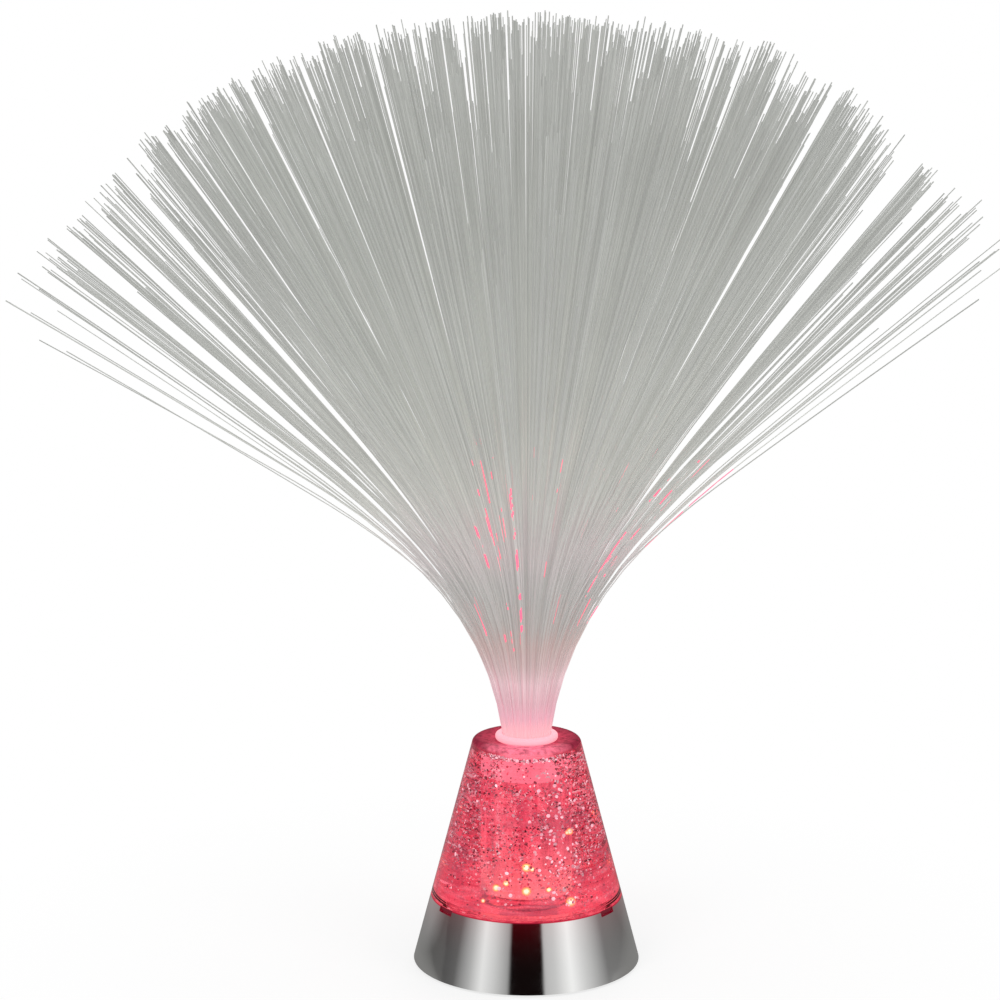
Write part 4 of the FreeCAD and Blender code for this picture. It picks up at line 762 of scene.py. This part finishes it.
def rod(line, azimuth, radius, spin):
    """Vertices and faces of a three-sided rod along a strand's line, closed at its tip."""
    along = np.gradient(line, axis=0)
    along /= np.linalg.norm(along, axis=1)[:, None]
    level = np.array([-math.sin(azimuth), math.cos(azimuth), 0.0])
    upright = np.cross(along, level)
    count = len(line)
    vertices, faces = [], []
    for side in range(STRAND_SIDES):
        angle = spin + 2 * math.pi * side / STRAND_SIDES
        vertices.extend(line + radius * (math.cos(angle) * level + math.sin(angle) * upright))
    for side in range(STRAND_SIDES):
        here, there = side * count, (side + 1) % STRAND_SIDES * count
        faces += [(here + k, there + k, there + k + 1, here + k + 1) for k in range(count - 1)]
    faces.append([side * count + count - 1 for side in range(STRAND_SIDES)])
    return vertices, faces


def rod_spots(order, count):
    """Places of a rod's corners on the map OFBake: a strip per side, which runs up from collar to tip."""
    left = order / PER_PIECE
    spots = []
    for side in range(STRAND_SIDES):
        near = left + side * 0.25 / PER_PIECE
        far = near + 0.2 / PER_PIECE
        for k in range(count - 1):
            low, high = max(k - 1, 0) / (count - 2), k / (count - 2)
            spots += [(near, low), (far, low), (far, high), (near, high)]
    for side in range(STRAND_SIDES):
        spots.append((left + (0.80 + 0.05 * side) / PER_PIECE, 1.0 - 0.02 * (side == 1)))
    return spots


def make_fibres():
    """The spray, in pieces of PER_PIECE strands."""
    draw = random.Random(5)
    strands = strand_laws()
    made = fibre_finish()
    for number in range(0, len(strands), PER_PIECE):
        vertices, faces, spots = [], [], []
        for order, (foot, azimuth, tilt, length) in enumerate(strands[number:number + PER_PIECE]):
            line = centre_line(foot, azimuth, tilt, length)
            radius = STRAND_WIDTH / 2 * draw.uniform(*WIDTH_RANGE)
            join(vertices, faces, *rod(line, azimuth, radius, draw.uniform(0, 2 * math.pi)))
            spots += rod_spots(order, len(line))
        item = piece(f"fibre_spray_{number // PER_PIECE + 1}", vertices, faces, made, "spray")
        layer = item.data.uv_layers.new(name="OFBake")
        layer.data.foreach_set("uv", np.array(spots, np.float32).ravel())
        item.visible_shadow = False  # clear strands hardly shade one another
        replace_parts(item, "fibres_core", "fibres_inner", "fibres_middle", "fibres_outer")


# ---------------------------------------------------------------- stage, light and camera
FLOOR_REACH = 4.0  # metres
SOFT_BOXES = (  # degrees from the front, to the right, and how bright it is there
    (-180, 0.80), (-170, 0.62), (-160, 0.28), (-140, 0.36), (-120, 0.28), (-104, 0.06), (-78, 0.12),
    (-60, 0.46), (-46, 0.86), (-34, 0.66), (-19, 0.34), (-16, 0.001), (16.5, 0.001), (19, 0.52), (30, 0.62),
    (47, 0.98), (62, 0.68), (92, 0.19), (118, 0.12), (142, 0.20), (160, 0.16), (170, 0.62), (180, 0.80),
)
LAMPS = (  # name, place, aim, width, height and power, in metres and watts
    ("key_lamp", (-0.9, -1.3, 1.3), (0, 0, 0.16), 0.9, 0.9, 11.0),
    ("fill_lamp", (1.2, -1.0, 0.8), (0, 0, 0.16), 1.0, 1.0, 7.0),
    ("back_lamp", (0.2, 1.4, 1.2), (0, 0, 0.2), 1.0, 0.8, 7.0),
)


def soft_boxes(tree, x, y):
    """What mirrors see by compass direction: two tall soft boxes beside a narrow dark gap in front."""
    turn = maths(tree, "ARCTAN2", x, product(tree, y, -1.0))
    turn = maths(tree, "ADD", maths(tree, "DIVIDE", turn, 2 * math.pi), 0.5)
    return ramp(tree, turn, [(0.5 + degrees / 360, tone) for degrees, tone in SOFT_BOXES])


def make_floor():
    """A pale floor that keeps the shadow and fades to white; mirrors see the soft boxes in it."""
    made, tree = material("studio_floor")
    path = add(tree, "LightPath").outputs
    tone = mixed(tree, noisy(tree, 3.0), (0.86, 0.86, 0.86), (0.90, 0.90, 0.90))
    matt = result(tree, "BsdfDiffuse", {"Color": tone})
    away = add(tree, "VectorMath", {0: object_place(tree)}, operation="LENGTH").outputs[1]
    fade = span(tree, away, 50.0 * MM, 220.0 * MM, 0.75, 1.0)
    seen = either(tree, fade, matt, emission(tree, (1.0, 1.0, 1.0, 1.0)))
    lit = either(tree, path["Is Camera Ray"], matt, seen)

    x, y, _ = object_axes(tree)
    boxes = mixed(tree, 0.3, soft_boxes(tree, x, y), (0.20, 0.20, 0.195))
    beyond = span(tree, away, 50.0 * MM, 140.0 * MM)  # plain below the base
    boxes = mixed(tree, beyond, (0.225, 0.225, 0.22), boxes)
    # Glossy rays from inside the acrylic see a painted maroon reflection.
    inside = maths(tree, "GREATER_THAN", path["Transmission Depth"], 0.5)
    mirrored = emission(tree, mixed(tree, inside, boxes, (0.30, 0.030, 0.055)))
    lit = either(tree, path["Is Glossy Ray"], lit, mirrored)
    back = add(tree, "NewGeometry").outputs["Backfacing"]
    finish_with(tree, either(tree, back, lit, result(tree, "BsdfTransparent")))

    r = FLOOR_REACH
    mesh = bpy.data.meshes.new("studio_floor")
    mesh.from_pydata([(-r, -r, 0), (r, -r, 0), (r, r, 0), (-r, r, 0)], [], [(0, 1, 2, 3)])
    mesh.materials.append(made)
    floor = bpy.data.objects.new("studio_floor", mesh)
    bpy.context.scene.collection.objects.link(floor)
    floor.visible_diffuse = floor.visible_shadow = False  # so that light reaches the underside


def make_world():
    """White surroundings, with the soft boxes in mirrors and a painted red glow seen through the acrylic."""
    world = bpy.data.worlds.new("studio")
    bpy.context.scene.world = world
    world.use_nodes = True
    tree = world.node_tree
    tree.nodes.clear()
    way = add(tree, "SeparateXYZ", {0: add(tree, "TexCoord").outputs["Generated"]}).outputs
    boxes = soft_boxes(tree, way[0], way[1])
    path = add(tree, "LightPath").outputs
    painted_red_share = span(tree, path["Transmission Depth"], 0.0, 2.0)
    mirrored = mixed(tree, maths(tree, "GREATER_THAN", painted_red_share, 0.1), boxes, (0.40, 0.045, 0.085))
    through = mixed(tree, painted_red_share, (1.0, 1.0, 1.0), (0.72, 0.17, 0.24))
    colour = mixed(tree, path["Is Glossy Ray"], (0.72, 0.72, 0.72), mirrored)
    colour = mixed(tree, path["Is Transmission Ray"], colour, through)
    colour = mixed(tree, path["Is Camera Ray"], colour, (1.0, 1.0, 1.0))
    add(tree, "OutputWorld", {"Surface": result(tree, "Background", {"Color": colour, "Strength": 1.0})})


def make_lamp(name, place, aim, width, height, power):
    lamp = bpy.data.lights.new(name, "AREA")
    lamp.shape = "RECTANGLE"
    lamp.size, lamp.size_y, lamp.energy = width, height, power
    item = bpy.data.objects.new(name, lamp)
    bpy.context.scene.collection.objects.link(item)
    item.location = place
    item.rotation_euler = (Vector(aim) - Vector(place)).to_track_quat("-Z", "Y").to_euler()
    item.visible_glossy = False
    item.visible_transmission = False


def make_camera():
    camera = bpy.data.cameras.new("camera")
    camera.lens = CAMERA_LENS
    camera.sensor_width = CAMERA_SENSOR
    camera.clip_start = 0.01
    item = bpy.data.objects.new("camera", camera)
    bpy.context.scene.collection.objects.link(item)
    item.location = (0.0, -CAMERA_AWAY * MM, CAMERA_UP * MM)
    level = math.cos(CAMERA_PITCH)
    ahead = Vector((math.sin(CAMERA_YAW) * level, math.cos(CAMERA_YAW) * level, -math.sin(CAMERA_PITCH)))
    item.rotation_euler = ahead.to_track_quat("-Z", "Y").to_euler()
    bpy.context.scene.camera = item


def dress_nodes():
    for name, (dark, light, roughness, scale, more, nodes) in PLAIN.items():
        made = coated(name, dark, light, roughness, scale, **more)
        for node in nodes:
            dress(node, made)
    epoxy = led_epoxy()
    for number in range(1, 6):
        dress(f"led_{number}", epoxy)
    dress("base_shell", chrome())
    dress("chamber_shell", acrylic("clear_acrylic", (1.0, 0.90, 0.92), wet=True))
    dress("well_tube", acrylic("clear_tube", (1.0, 0.90, 0.92), wet=True))
    dress("chamber_floor", acrylic("clear_floor", (1.0, 0.85, 0.87), wet=True))
    dress("ferrule_lens", acrylic("clear_lens", (1.0, 0.9, 0.92), wet=False))
    dress("fibre_ferrule", milky_collar())
    dress("reflector_plate", reflector())


make_camera()
dress_nodes()
make_liquid()
make_flakes()
make_sparks()
make_glints()
make_fibres()
make_floor()
make_world()
for lamp in LAMPS:
    make_lamp(*lamp)

bpy.context.scene.view_settings.view_transform = "Standard"
